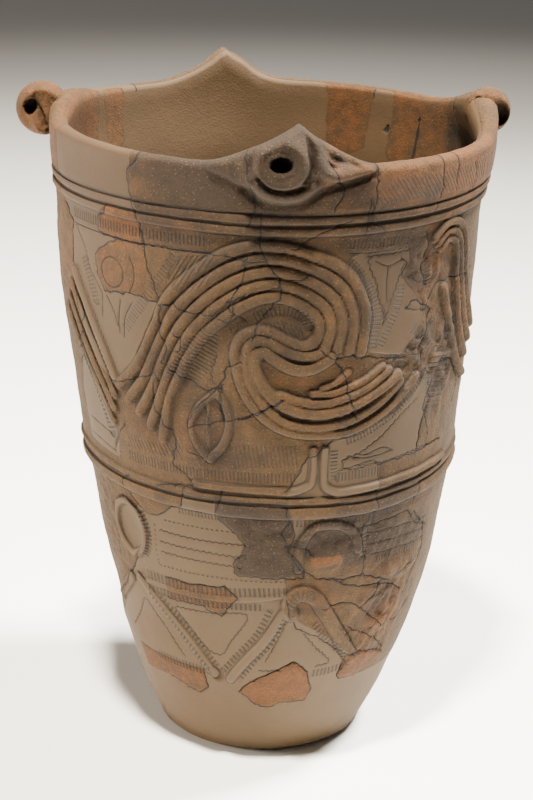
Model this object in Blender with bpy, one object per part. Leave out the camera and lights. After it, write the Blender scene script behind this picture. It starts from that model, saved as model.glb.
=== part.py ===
# Deep hand-built earthenware vessel with four rim lugs, coiled relief and empty inside.
# Tables are in millimetres and degrees, and the finished mesh is in metres.
# Angle zero faces the viewer at -Y, and angles grow toward +X.

import math

import bmesh
import bpy
import numpy as np
from mathutils import Matrix
from mathutils.geometry import delaunay_2d_cdt

MM = 0.001
UNROLL_RADIUS = 140.0
ARC = math.radians(1.0) * UNROLL_RADIUS

# Body: height, outside radius between the coils, sideways lean of the centre
PROFILE = (
    (0.0, 70.5, 0.0),
    (2.0, 74.2, 0.0),
    (7.0, 76.8, 0.1),
    (30.0, 87.4, 0.6),
    (56.0, 96.6, 1.2),
    (81.0, 105.0, 2.2),
    (106.0, 110.5, 3.8),
    (131.0, 116.9, 4.0),
    (155.0, 121.6, 3.4),
    (191.0, 127.2, 3.2),
    (226.0, 133.0, 2.2),
    (255.0, 136.0, 1.2),
    (300.0, 140.4, 0.0),
    (350.0, 144.4, -1.6),
    (403.0, 147.0, -0.8),
    (424.0, 149.6, 0.6),
    (480.0, 150.8, 1.0),
)
WALL = 9.5
FLOOR_THICKNESS = 14.0
FLOOR_CORNER = 26.0

# Rim: crest height, slow wave, and the roll over the top
RIM_HEIGHT = 450.0
RIM_WAVE = 2.0
RIM_WAVE_ANGLE = -80.0
ROLL_HEIGHT = 4.5
RIM_BAND = 30.0
NECK = RIM_HEIGHT - RIM_BAND

# The ornament is laid out on a flat sheet, with its own neck line and top edge
SHEET_NECK = 420.0
SHEET_BAND = 25.0
SHEET_EDGE = SHEET_NECK + SHEET_BAND

# Peaked lugs: angle, rise, reach to the left and right, curve of the slope
FRONT_LUG = (6.0, 26.5, 24.0, 20.0, 1.45)
BACK_LUG = (-165.0, 21.0, 20.0, 23.0, 2.0)
# Boss under a peak: angle from the peak, height above the rim, reach across and down, how far out
BOSS_SHIFT = -3.6
BOSS_ABOVE_RIM = 3.0
BOSS_HEIGHT = RIM_HEIGHT + BOSS_ABOVE_RIM
BOSS_ACROSS = 31.0
BOSS_DOWN = 31.0
BOSS_OUT = 15.0
EYE_RADIUS = 6.4
EYE_DEPTH = 10.0
EYE_RING_RADIUS = 11.0
EYE_RING_WIDTH = 4.2
EYE_RING_HEIGHT = 3.6
BOSS_FROM_AXIS = 152.0
# Rings of points laid round the eye: radius, count
BOSS_CIRCLES = (
    (0.01, 1),
    (EYE_RADIUS * 0.72, 12),
    (EYE_RADIUS, 12),
    (EYE_RING_RADIUS, 14),
    (17.0, 14),
    (24.0, 16),
    (BOSS_DOWN, 16),
)

# Ring lugs at the two sides: angle, rise of the rim, its reach to the left and right, outer radius
# of the ring, and where the ring's centre is, measured out from the wall's face and up from the rim
LEFT_LUG = (-91.0, 11.0, 46.0, 16.0, 18.4, 6.6, 2.8)
RIGHT_LUG = (93.0, 20.0, 24.0, 42.0, 16.2, -2.9, 6.0)
RING_HALF_WIDTH = 11.0
RING_CREST = 0.66
RING_DISH = 5.0
LEFT_HOLE = (7.2, 2.4, 5.4)
RIGHT_HOLE = (6.6, -1.5, 7.6)
HOLE_DEPTH = 13.0
SADDLE_IN = 10.0
SADDLE_ROLL = 6.5
SADDLE_START = NECK - 2.0
SADDLE_REACH = 34.0

# Coils are named by their middle lines, angle and height, with half width and rise
SWEEP_OUTER = (
    (-44.5, 289), (-38, 304), (-30, 337), (-25, 361), (-20, 374), (-15, 384.5), (-10, 393), (-5, 398),
    (0, 399.5),
    (6, 397.5), (12, 392), (17, 386), (21, 378), (24, 366), (26, 352), (26, 340), (25, 325),
)
SWEEP_INNER = (
    (-41, 258), (-35, 272), (-30, 296), (-25, 322), (-20, 337), (-15, 347.5), (-10, 355), (-5, 362),
    (0, 365.5),
    (4, 365), (8, 361.5), (11, 356), (13, 350), (13.6, 345), (13.6, 341), (13, 337), (12, 334),
)
LEFT_ARM_INNER = ((-61, 358), (-56, 340), (-52, 322), (-48.5, 304), (-46, 291))
LEFT_ARM_OUTER = ((-69, 328), (-63, 308), (-58, 290), (-53, 274), (-49, 260))
SWIRL_OUTER = (
    (12, 334), (10, 332), (7, 334), (3, 339.5), (0, 342.5), (-3, 342), (-6, 338), (-7.8, 329),
    (-7.6, 315), (-6.3, 302),
    (-4, 291), (0, 280), (5, 272.5), (10, 269.5), (16, 268.5), (22, 269), (30, 275.5), (38, 287), (44, 300),
)
SWIRL_MIDDLE = (
    (15, 328), (12, 325.7), (9, 325.8), (6, 328), (3, 332), (0, 335.5), (-2, 336.3), (-4, 333),
    (-5, 325), (-4.8, 312),
    (-3.3, 300), (0, 289), (4, 280), (10, 275.3), (16, 274.8), (22, 277), (30, 285), (38, 299),
)
SWIRL_BOLD = (
    (16.5, 323), (14, 319), (11, 316), (8, 316), (5, 318.7), (2, 324), (-0.7, 328.5), (-2.3, 327),
    (-3, 320),
    (-2.4, 311), (-0.3, 301), (3.5, 292.5), (8, 286.6), (14, 284.2), (20, 285.5), (26, 290.5),
    (32, 297.5), (37, 304),
)
SWIRL_LOW = ((3.5, 298), (8, 293.8), (14, 291), (20, 293.3), (26, 298), (34, 309))
SWIRL_SHORT = ((12, 299), (17, 298), (21, 300.3), (26, 304), (32, 312.5))
SWIRL_STUB = ((14.5, 302.5), (18, 305), (22, 312))
ARCH_OUTER = ((47, 393), (51, 400.5), (56, 401), (61, 394), (63.5, 380), (65.5, 358), (70, 336), (76, 317))
ARCH_INNER = ((50.5, 385), (53.5, 390), (56.5, 388), (58.3, 379), (59, 366), (61.5, 340), (66, 315), (72, 298))
ARCH_TAIL = ((53, 357), (56, 341), (59.5, 323), (63, 306), (68, 292), (74, 282))
FRAME_LEFT = ((12.8, 258), (12.8, 241), (12, 232.5), (9, 229), (-2, 229), (-12, 229.5), (-21, 229.5))
FRAME_RIGHT = ((16, 258), (15.8, 240), (16.2, 231), (19, 226), (26, 224.8), (40, 226), (63, 228.5))
LENS_STEM = ((-13, 296), (-12.2, 281), (-12.8, 266), (-14.5, 251))
LENS_EDGE = ((-21.6, 300), (-20.8, 286), (-21.2, 271), (-20, 257))
LADDER_REST = ((-45, 139), (-30, 140), (-15, 140.5), (-2, 143), (5, 146))
ZIGZAG_LEFT = ((-49, 139), (-40, 121), (-32, 104), (-25, 88), (-19.5, 75))
ZIGZAG_MIDDLE = ((-13, 72), (-7, 90), (-1, 107), (3.5, 124), (6, 134))
ZIGZAG_BOLD = ((8, 130), (6.8, 139), (10, 147), (15, 143.5), (19, 131), (24, 115), (29, 100), (34, 86))
ZIGZAG_FAR = ((-54, 136), (-62, 121), (-70, 108))
ARCADE = ((9.5, 168), (10, 186), (13, 198), (20, 200), (26, 193), (29, 178))

# Coil families: paths, number of coils between them, half width, rise
FRONT_COILS = (
    (SWEEP_OUTER, SWEEP_INNER, 5, 3.7, 2.6),
    (LEFT_ARM_INNER, LEFT_ARM_OUTER, 3, 3.9, 2.4),
    (SWIRL_OUTER, None, 1, 3.4, 2.6),
    (SWIRL_MIDDLE, None, 1, 3.4, 2.9),
    (SWIRL_BOLD, None, 1, 4.2, 4.2),
    (SWIRL_LOW, None, 1, 3.2, 3.2),
    (SWIRL_SHORT, None, 1, 3.0, 2.8),
    (SWIRL_STUB, None, 1, 2.6, 2.4),
    (ARCH_OUTER, ARCH_INNER, 3, 3.8, 3.2),
    (ARCH_TAIL, None, 1, 3.8, 3.0),
    (FRAME_LEFT, None, 1, 3.0, 1.8),
    (FRAME_RIGHT, None, 1, 3.2, 2.0),
    (LENS_STEM, None, 1, 3.0, 1.8),
    (LENS_EDGE, None, 1, 2.6, 1.4),
    (LADDER_REST, None, 1, 2.6, 0.9),
    (ZIGZAG_LEFT, None, 1, 4.6, 1.4),
    (ZIGZAG_MIDDLE, None, 1, 4.4, 1.4),
    (ZIGZAG_BOLD, None, 1, 6.0, 4.6),
    (ZIGZAG_FAR, None, 1, 5.0, 1.8),
    (ARCADE, None, 1, 4.0, 1.5),
)
# The hidden side carries the same figures, plainer, turned half round
BACK_COILS = (
    (SWEEP_OUTER, SWEEP_INNER, 3, 5.4, 2.6),
    (LEFT_ARM_INNER, LEFT_ARM_OUTER, 2, 5.0, 2.4),
    (SWIRL_OUTER[4:], None, 1, 4.4, 2.6),
    (SWIRL_BOLD, None, 1, 4.6, 3.2),
    (ARCH_OUTER, ARCH_INNER, 2, 4.6, 2.6),
    (ZIGZAG_LEFT, None, 1, 4.6, 1.4),
    (ZIGZAG_MIDDLE, None, 1, 4.6, 1.4),
    (ZIGZAG_BOLD[4:], None, 1, 5.0, 2.0),
)
HALF_TURN = -180.0

# Bands that run right round: height at each angle, half width, rise
WAIST_HEIGHTS = ((-75, 227), (-50, 224), (-25, 222), (0, 221.7), (15, 219.5), (30, 218.3), (50, 220), (75, 224))
RINGS = (
    (((-75, 416.6), (-20, 416.6), (10, 415.4), (75, 415.2)), 3.5, 1.3),
    (((-75, 409.6), (-20, 409.4), (10, 408), (75, 407.6)), 3.5, 1.3),
    (WAIST_HEIGHTS, 2.7, 1.3),
    (((-75, 214), (-25, 212.5), (0, 211.5), (30, 210), (75, 214)), 5.0, 2.4),
)

# Sunk or raised ovals: angle, height, half width, half height, rise
OVALS = (
    (-49.5, 179.0, 16.0, 19.0, -2.6),
    (48.0, 153.0, 29.0, 10.0, 3.6),
    (18.0, 172.0, 15.0, 11.0, 2.0),
    (-18.0, 75.0, 7.0, 7.0, -2.4),
)

# Mesh spacing
SEAM = 90.0
SEAM_HEIGHTS = (2, 7, 30, 56, 81, 106, 131, 155, 180, 245, 270, 295, 320, 345, 370, 391, 432)
LINE_STEP = 10.5
RING_STEP = 7.5
FILL_STEP = 21.0
FILL_CLEAR = 8.5
SIDE_CLEAR = 2.0
INNER_NECK_DROP = 20.0
INNER_NECK_ROWS = 2
INNER_WALL_ROWS = 5
FLOOR_CORNER_ROWS = 3
ROLL_ROWS = 4
LATHE_SEGMENTS = 20


def hermite(x, xs, ys):
    """Read a smooth curve through the table at x."""
    xs = np.asarray(xs, float)
    ys = np.asarray(ys, float)
    slope = np.gradient(ys, xs)
    x = np.clip(np.asarray(x, float), xs[0], xs[-1])
    i = np.clip(np.searchsorted(xs, x) - 1, 0, len(xs) - 2)
    span = xs[i + 1] - xs[i]
    t = (x - xs[i]) / span
    a = (1 + 2 * t) * (1 - t) ** 2 * ys[i]
    b = t * (1 - t) ** 2 * span * slope[i]
    c = t * t * (3 - 2 * t) * ys[i + 1]
    d = t * t * (t - 1) * span * slope[i + 1]
    return a + b + c + d


def body_radius(z):
    """Outside radius of the plain body."""
    return hermite(z, [row[0] for row in PROFILE], [row[1] for row in PROFILE])


def body_lean(z):
    """Sideways shift of the hand-built body."""
    return hermite(z, [row[0] for row in PROFILE], [row[2] for row in PROFILE])


def turn_to(angle, centre):
    """Signed angle from a centre, wrapped to half a turn each way."""
    return (np.asarray(angle, float) - centre + 180.0) % 360.0 - 180.0


def peak_rise(angle, lug):
    """Rise of the rim at a peaked lug."""
    d = turn_to(angle, lug[0])
    reach = np.where(d < 0, lug[2], lug[3])
    return lug[1] * np.clip(1 - np.abs(d) / reach, 0, 1) ** lug[4]


def swell(angle, lug):
    """Share of a side lug's swelling at an angle."""
    d = turn_to(angle, lug[0])
    reach = np.where(d < 0, lug[2], lug[3])
    return np.cos(np.clip(np.abs(d) / reach, 0, 1) * math.pi / 2) ** 2.6


def rim_height(angle):
    """Height of the rim's crest."""
    wave = RIM_WAVE * np.cos(np.radians(turn_to(angle, RIM_WAVE_ANGLE)))
    peaks = peak_rise(angle, FRONT_LUG) + peak_rise(angle, BACK_LUG)
    sides = LEFT_LUG[1] * swell(angle, LEFT_LUG) + RIGHT_LUG[1] * swell(angle, RIGHT_LUG)
    return RIM_HEIGHT + wave + peaks + sides


def side_swell(angle):
    """Joint swelling of both side lugs."""
    return np.maximum(swell(angle, LEFT_LUG), swell(angle, RIGHT_LUG))


def roll_height(angle):
    """Height of the rounded top of the rim."""
    return ROLL_HEIGHT + SADDLE_ROLL * side_swell(angle)


def real_height(angle, nominal):
    """Turn a height on the sheet into the real one, stretched under the lugs."""
    edge = rim_height(angle) - roll_height(angle)
    share = (nominal - SHEET_NECK) / SHEET_BAND
    return np.where(share > 0, NECK + share * (edge - NECK), nominal * NECK / SHEET_NECK)


def nominal_height(angle, z):
    """Turn a real height back into its height on the sheet."""
    edge = rim_height(angle) - roll_height(angle)
    share = (z - NECK) / (edge - NECK)
    return np.where(share > 0, SHEET_NECK + share * SHEET_BAND, z * SHEET_NECK / NECK)


def boss_rise(angle, z, lug):
    """Outward rise of the boss, the ring and the blind eye under a peaked lug."""
    across = turn_to(angle, lug[0] + BOSS_SHIFT) * math.radians(1.0) * BOSS_FROM_AXIS
    up = z - BOSS_HEIGHT
    reach = np.where(up < 0, BOSS_DOWN, BOSS_DOWN * 1.15)
    e = np.sqrt((across / BOSS_ACROSS) ** 2 + (up / reach) ** 2)
    body = BOSS_OUT * np.cos(np.clip(e, 0, 1) * math.pi / 2) ** 1.5
    r = np.hypot(across, up)
    ring = EYE_RING_HEIGHT * np.exp(-((r - EYE_RING_RADIUS) / EYE_RING_WIDTH) ** 2)
    hole = EYE_DEPTH * np.clip(1 - (r / EYE_RADIUS) ** 4, 0, 1)
    return body + ring - hole


def spline(points, step=2.0):
    """Smooth curve through angle and height pairs, as unrolled millimetres."""
    p = np.array([(a * ARC, z) for a, z in points], float)
    knots = np.concatenate([[0.0], np.cumsum(np.hypot(*np.diff(p, axis=0).T))])
    count = max(int(knots[-1] / step), 2)
    t = np.linspace(0, knots[-1], count + 1)
    return np.stack([hermite(t, knots, p[:, 0]), hermite(t, knots, p[:, 1])], 1)


def family(first, last, count):
    """Middle lines spread evenly between two paths."""
    if last is None:
        return [spline(first)]
    a = np.array(first, float)
    b = np.array(last, float)
    lines = []
    for k in range(count):
        share = k / (count - 1)
        lines.append(spline([tuple(row) for row in a * (1 - share) + b * share]))
    return lines


def all_coils():
    """Every coil as its line, half width and rise."""
    coils = []
    for first, last, count, half, rise in FRONT_COILS:
        for line in family(first, last, round(count)):
            coils.append((line, half, rise))
    for first, last, count, half, rise in BACK_COILS:
        for line in family(first, last, round(count)):
            moved = line + np.array([HALF_TURN * ARC, 0.0])
            coils.append((moved, half, rise))
    return coils


def ring_height(table, angle):
    """Height of a band at an angle, level round the hidden side."""
    a = turn_to(angle, 0.0)
    angles = [-180.0, -120.0] + [row[0] for row in table] + [120.0, 180.0]
    level = (table[0][1] + table[-1][1]) / 2
    heights = [level, level] + [row[1] for row in table] + [level, level]
    return np.interp(a, angles, heights)


def distance_to(line, points):
    """Shortest distance from each point to a line of straight pieces."""
    best = np.full(len(points), 1e9)
    for a, b in zip(line[:-1], line[1:]):
        ab = b - a
        t = np.clip(((points - a) @ ab) / max(ab @ ab, 1e-9), 0, 1)
        best = np.minimum(best, np.hypot(*(points - a - t[:, None] * ab).T))
    return best


def rounded(d, half, rise):
    """Rounded section of a coil."""
    return rise * np.clip(1 - (d / half) ** 2, 0, 1) ** 0.75


def relief(points, coils):
    """Outward rise of the surface at unrolled points."""
    angle = points[:, 0] / ARC
    nominal = points[:, 1]
    z = real_height(angle, nominal)
    rise = np.zeros(len(points))
    for line, half, top in coils:
        low = line.min(axis=0) - half
        high = line.max(axis=0) + half
        near = np.all((points > low) & (points < high), axis=1)
        if near.any():
            part = rounded(distance_to(line, points[near]), half, top)
            rise[near] = np.maximum(rise[near], part)
    for table, half, top in RINGS:
        rise = np.maximum(rise, rounded(np.abs(nominal - ring_height(table, angle)), half, top))
    for centre, height, across, up, top in OVALS:
        e = np.hypot(turn_to(angle, centre) * ARC / across, (nominal - height) / up)
        rise = rise + top * np.clip(1 - e ** 2, 0, 1) ** 0.7
    rise = rise + boss_rise(angle, z, FRONT_LUG) + boss_rise(angle, z, BACK_LUG)
    return rise


def resample(line, step):
    """Spread points evenly along a line, closer where it bends tightly."""
    seg = np.hypot(*np.diff(line, axis=0).T)
    heading = np.unwrap(np.arctan2(np.diff(line[:, 1]), np.diff(line[:, 0])))
    bend = np.concatenate([[0.0], np.abs(np.diff(heading))]) / np.maximum(seg, 1e-6)
    density = seg * (1 + 9.0 * np.clip(bend, 0, 0.1)) / step
    run = np.concatenate([[0.0], np.cumsum(density)])
    count = max(int(round(run[-1])), 1)
    t = np.linspace(0, run[-1], count + 1)
    return np.stack([np.interp(t, run, line[:, 0]), np.interp(t, run, line[:, 1])], 1)


def beside(line, shift):
    """A line shifted sideways."""
    step = np.gradient(line, axis=0)
    step = step / np.maximum(np.hypot(*step.T), 1e-9)[:, None]
    return line + shift * np.stack([-step[:, 1], step[:, 0]], 1)


class Net:
    """Points and edges of the unrolled outside."""

    def __init__(self):
        self.points = []
        self.edges = []

    def clear_of(self, point, gap):
        """Say whether a point keeps a gap from all points so far."""
        if not self.points:
            return True
        d = np.hypot(*(np.array(self.points) - point).T)
        return bool(d.min() > gap)

    def add_line(self, line, gap):
        """Add a line, leaving out points that crowd others."""
        known = np.array(self.points) if self.points else np.zeros((0, 2))
        last = None
        for point in line:
            crowded = len(known) > 0 and np.hypot(*(known - point).T).min() < gap
            if crowded:
                last = None
                continue
            self.points.append(tuple(point))
            if last is not None:
                self.edges.append((last, len(self.points) - 1))
            last = len(self.points) - 1


def border_angles():
    """Angles of the columns at the rim, closer together at the lugs."""
    angles = list(np.arange(SEAM - 360.0, SEAM, RING_STEP))
    for lug in (FRONT_LUG, BACK_LUG, LEFT_LUG, RIGHT_LUG):
        for d in np.arange(-12.5, 13.0, 2.5):
            angles.append(SEAM - 360.0 + (lug[0] + d - SEAM) % 360.0)
    angles = sorted(angles)
    kept = [angles[0]]
    for a in angles[1:]:
        if a - kept[-1] > 1.6 and SEAM - a > 1.6:
            kept.append(a)
    return kept


def build_net(coils):
    """Lay out the outside of the wall as points and edges."""
    net = Net()
    left = (SEAM - 360.0) * ARC
    right = SEAM * ARC
    angles = border_angles()
    for a in angles + [SEAM]:
        net.points.append((a * ARC, SHEET_EDGE))
    low = list(np.arange(SEAM - 360.0, SEAM, RING_STEP)) + [SEAM]
    for a in low:
        net.points.append((a * ARC, 0.0))
    ring_levels = []
    for table, half, top in RINGS:
        level = float(ring_height(table, SEAM))
        ring_levels.extend([level - half, level, level + half])
    for z in list(SEAM_HEIGHTS) + ring_levels:
        net.points.append((left, z))
        net.points.append((right, z))
    for line, half, top in coils:
        net.add_line(resample(line, LINE_STEP), 1.2)
    circle = np.arange(SEAM - 360.0, SEAM, RING_STEP)[1:]
    for table, half, top in RINGS:
        for shift in (0.0, half, -half):
            ring = [(a * ARC, float(ring_height(table, a)) + shift) for a in circle]
            net.add_line(np.array(ring), 2.4)
    for line, half, top in coils:
        for side in (half, -half):
            shifted = resample(beside(line, side), LINE_STEP)
            others = [c for c in coils if c[0] is not line]
            rise = relief(shifted, others)
            plain = np.array([p for p, h in zip(shifted, rise) if h < 0.55 * top])
            if len(plain):
                net.add_line(plain, SIDE_CLEAR)
    for centre, height, across, up, top in OVALS:
        for share, count in ((1.0, 16), (0.55, 10)):
            for k in range(count):
                t = 2 * math.pi * k / count
                p = (centre * ARC + share * across * math.cos(t), height + share * up * math.sin(t))
                if net.clear_of(p, 4.0):
                    net.points.append(p)
    for lug in (FRONT_LUG, BACK_LUG):
        centre = lug[0] + BOSS_SHIFT
        for radius, count in BOSS_CIRCLES:
            for k in range(count):
                t = 2 * math.pi * k / count
                a = centre + radius * math.cos(t) / (math.radians(1.0) * BOSS_FROM_AXIS)
                z = BOSS_HEIGHT + radius * math.sin(t)
                nominal = float(nominal_height(a, z))
                p = (a * ARC, nominal)
                if nominal < SHEET_EDGE - 1.0 and net.clear_of(p, 1.6):
                    net.points.append(p)
    for z in (2.0, 7.0, 30.0):
        for a in circle:
            p = (a * ARC, z)
            if net.clear_of(p, 1.5):
                net.points.append(p)
    row = 0
    for z in np.arange(52.0, SHEET_EDGE - 5.0, FILL_STEP * 0.8):
        row += 1
        for a in np.arange(SEAM - 360.0, SEAM, RING_STEP):
            p = ((a + (RING_STEP / 2 if row % 2 else 0)) * ARC, z)
            inside = left + 6.0 < p[0] < right - 6.0
            if inside and net.clear_of(p, FILL_CLEAR):
                net.points.append(p)
    return net, angles, low


def outside_point(s, nominal, rise):
    """Place an unrolled point on the finished outside."""
    angle = s / ARC
    z = float(real_height(angle, nominal))
    r = float(body_radius(z)) + rise
    x = float(body_lean(z)) + r * math.sin(math.radians(angle))
    return (x * MM, -r * math.cos(math.radians(angle)) * MM, z * MM)


def inside_radius(angle, z):
    """Radius of the inner wall, swollen inward at the side lugs."""
    share = float(np.clip((z - SADDLE_START) / SADDLE_REACH, 0, 1))
    swollen = SADDLE_IN * float(side_swell(angle)) * share ** 1.5
    plain = float(body_radius(z)) - WALL - swollen
    if z < FLOOR_THICKNESS + FLOOR_CORNER:
        t = min(1 - (z - FLOOR_THICKNESS) / FLOOR_CORNER, 1.0)
        plain -= FLOOR_CORNER * (1 - math.sqrt(max(1 - t * t, 0.0)))
    return plain


def inner_levels():
    """Rows down the inside, as a share of the way from the rim and a level."""
    neck = NECK - INNER_NECK_DROP
    corner = FLOOR_THICKNESS + FLOOR_CORNER
    levels = [(k / INNER_NECK_ROWS, neck) for k in range(1, INNER_NECK_ROWS + 1)]
    for k in range(1, INNER_WALL_ROWS + 1):
        levels.append((1.0, neck + (corner - neck) * k / INNER_WALL_ROWS))
    for k in range(1, FLOOR_CORNER_ROWS + 1):
        turn = math.pi / 2 * k / FLOOR_CORNER_ROWS
        levels.append((1.0, corner - FLOOR_CORNER * math.sin(turn)))
    return levels


def build_wall():
    """Make the closed hollow body as a mesh."""
    coils = all_coils()
    net, angles, low = build_net(coils)
    found = delaunay_2d_cdt([tuple(p) for p in net.points], net.edges, [], 0, 1e-5)
    flat = np.array([(v[0], v[1]) for v in found[0]])
    rises = relief(flat, coils)
    mesh = bmesh.new()
    verts = [mesh.verts.new(outside_point(p[0], p[1], h)) for p, h in zip(flat, rises)]
    for face in found[2]:
        mesh.faces.new([verts[i] for i in face])

    def find(s, nominal):
        """Pick the vertex that was laid at an unrolled place."""
        return verts[int(np.argmin(np.hypot(flat[:, 0] - s, flat[:, 1] - nominal)))]

    top = [find(a * ARC, SHEET_EDGE) for a in angles]
    rows = [top]
    for k in range(1, ROLL_ROWS + 1):
        turn = math.pi * k / ROLL_ROWS
        row = []
        for a, v in zip(angles, top):
            up = float(roll_height(a))
            base = v.co.z / MM
            outer = math.hypot(v.co.x / MM - float(body_lean(base)), v.co.y / MM)
            inner = inside_radius(a, base)
            r = (outer + inner) / 2 + (outer - inner) / 2 * math.cos(turn)
            z = base + up * math.sin(turn)
            x = float(body_lean(base)) + r * math.sin(math.radians(a))
            row.append(mesh.verts.new((x * MM, -r * math.cos(math.radians(a)) * MM, z * MM)))
        rows.append(row)
    for share, level in inner_levels():
        row = []
        for a, v in zip(angles, top):
            z = v.co.z / MM * (1 - share) + level * share
            r = inside_radius(a, z)
            x = float(body_lean(z)) + r * math.sin(math.radians(a))
            row.append(mesh.verts.new((x * MM, -r * math.cos(math.radians(a)) * MM, z * MM)))
        rows.append(row)
    count = len(angles)
    for upper, lower in zip(rows[:-1], rows[1:]):
        for k in range(count):
            n = (k + 1) % count
            mesh.faces.new((upper[k], upper[n], lower[n], lower[k]))
    centre = mesh.verts.new((float(body_lean(FLOOR_THICKNESS)) * MM, 0.0, FLOOR_THICKNESS * MM))
    for k in range(count):
        mesh.faces.new((rows[-1][k], rows[-1][(k + 1) % count], centre))
    foot = [find(a * ARC, 0.0) for a in low[:-1]]
    under = mesh.verts.new((float(body_lean(0.0)) * MM, 0.0, 0.0))
    for k in range(len(foot)):
        mesh.faces.new((foot[(k + 1) % len(foot)], foot[k], under))
    bmesh.ops.remove_doubles(mesh, verts=mesh.verts, dist=0.00005)
    bmesh.ops.dissolve_degenerate(mesh, edges=mesh.edges, dist=0.00002)
    bmesh.ops.triangulate(mesh, faces=mesh.faces)
    bmesh.ops.recalc_face_normals(mesh, faces=mesh.faces)
    return mesh


def ring_lug(name, lug, hole, side):
    """Turned ring with dished cheeks and a blind hole in its front cheek."""
    angle, rise, reach_left, reach_right, radius, off_wall, off_rim = lug
    shift, lift, hole_radius = hole
    section = (
        (0.0, RING_HALF_WIDTH - RING_DISH),
        (radius * 0.35, RING_HALF_WIDTH - RING_DISH * 0.7),
        (radius * RING_CREST, RING_HALF_WIDTH),
        (radius * 0.9, RING_HALF_WIDTH * 0.72),
        (radius, 0.0),
        (radius * 0.9, -RING_HALF_WIDTH * 0.72),
        (radius * RING_CREST, -RING_HALF_WIDTH),
        (radius * 0.35, -RING_HALF_WIDTH + RING_DISH * 0.7),
        (0.0, -RING_HALF_WIDTH + RING_DISH),
    )
    body = lathe(name, section)
    drill_section = (
        (0.0, HOLE_DEPTH),
        (hole_radius, HOLE_DEPTH),
        (hole_radius * 0.8, -3.0),
        (0.0, -4.0),
    )
    drill = lathe(name + "_hole", drill_section)
    drill.location = (side * shift * MM, -RING_HALF_WIDTH * MM, lift * MM)
    drill.hide_render = True
    drill.display_type = "WIRE"
    cut(body, drill, "DIFFERENCE")
    bpy.data.objects.remove(drill)
    out = float(body_radius(RIM_HEIGHT)) + off_wall
    turn = math.radians(angle - side * 90.0)
    body.data.transform(Matrix.Rotation(turn, 4, "Z"))
    x = out * math.sin(math.radians(angle))
    y = -out * math.cos(math.radians(angle))
    for v in body.data.vertices:
        v.co.x += x * MM
        v.co.y += y * MM
        v.co.z += (RIM_HEIGHT + off_rim) * MM
    return body


def lathe(name, section):
    """Turn a section about the Y axis into a closed object."""
    mesh = bmesh.new()
    rings = []
    for r, y in section:
        if r == 0.0:
            rings.append([mesh.verts.new((0.0, -y * MM, 0.0))])
            continue
        ring = []
        for k in range(LATHE_SEGMENTS):
            t = 2 * math.pi * k / LATHE_SEGMENTS
            ring.append(mesh.verts.new((r * math.cos(t) * MM, -y * MM, r * math.sin(t) * MM)))
        rings.append(ring)
    for a, b in zip(rings[:-1], rings[1:]):
        for k in range(LATHE_SEGMENTS):
            n = (k + 1) % LATHE_SEGMENTS
            corners = [a[k % len(a)], a[n % len(a)], b[n % len(b)], b[k % len(b)]]
            unique = list(dict.fromkeys(corners))
            mesh.faces.new(unique)
    bmesh.ops.triangulate(mesh, faces=mesh.faces)
    bmesh.ops.recalc_face_normals(mesh, faces=mesh.faces)
    return to_object(name, mesh)


def to_object(name, mesh):
    """Turn mesh data into a linked object."""
    data = bpy.data.meshes.new(name)
    mesh.to_mesh(data)
    mesh.free()
    made = bpy.data.objects.new(name, data)
    bpy.context.scene.collection.objects.link(made)
    return made


def cut(target, tool, operation):
    """Apply an exact Boolean to the target."""
    change = target.modifiers.new("join", "BOOLEAN")
    change.operation = operation
    change.solver = "EXACT"
    change.object = tool
    bpy.context.view_layer.update()
    done = bpy.data.meshes.new_from_object(target.evaluated_get(bpy.context.evaluated_depsgraph_get()))
    target.modifiers.clear()
    target.data = done


def clay():
    """Finish of low-fired clay."""
    made = bpy.data.materials.new("earthenware")
    made.use_nodes = True
    shader = made.node_tree.nodes["Principled BSDF"]
    shader.inputs["Base Color"].default_value = (0.30, 0.20, 0.13, 1.0)
    shader.inputs["Roughness"].default_value = 0.9
    return made


def main():
    """Build the one solid of the part."""
    for item in list(bpy.data.objects):
        bpy.data.objects.remove(item)
    vessel = to_object("vessel", build_wall())
    lugs = (("left", LEFT_LUG, LEFT_HOLE, -1.0), ("right", RIGHT_LUG, RIGHT_HOLE, 1.0))
    for name, lug, hole, side in lugs:
        ring = ring_lug(name, lug, hole, side)
        cut(vessel, ring, "UNION")
        bpy.data.objects.remove(ring)
    vessel.data.name = "vessel"
    tidy = bmesh.new()
    tidy.from_mesh(vessel.data)
    bmesh.ops.remove_doubles(tidy, verts=tidy.verts, dist=0.00005)
    bmesh.ops.triangulate(tidy, faces=tidy.faces)
    tidy.to_mesh(vessel.data)
    tidy.free()
    vessel.data.materials.clear()
    vessel.data.materials.append(clay())
    vessel.data.shade_smooth()
    vessel.data.set_sharp_from_angle(angle=math.radians(32.0))


main()
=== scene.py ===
"""Looks of a deep hand-built earthenware vessel with coiled relief, ring lugs and old repairs.

The wall is drawn on a flat sheet, unrolled round the vessel. A place on the sheet is an angle
in degrees, zero at the front and growing to the viewer's right, and a height in millimetres.
Sizes in the classes are millimetres, and the finished meshes are in metres.
"""
import logging
import math
from dataclasses import dataclass
from enum import Enum

import bpy
import numpy as np
from mathutils import Matrix, Vector


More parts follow.
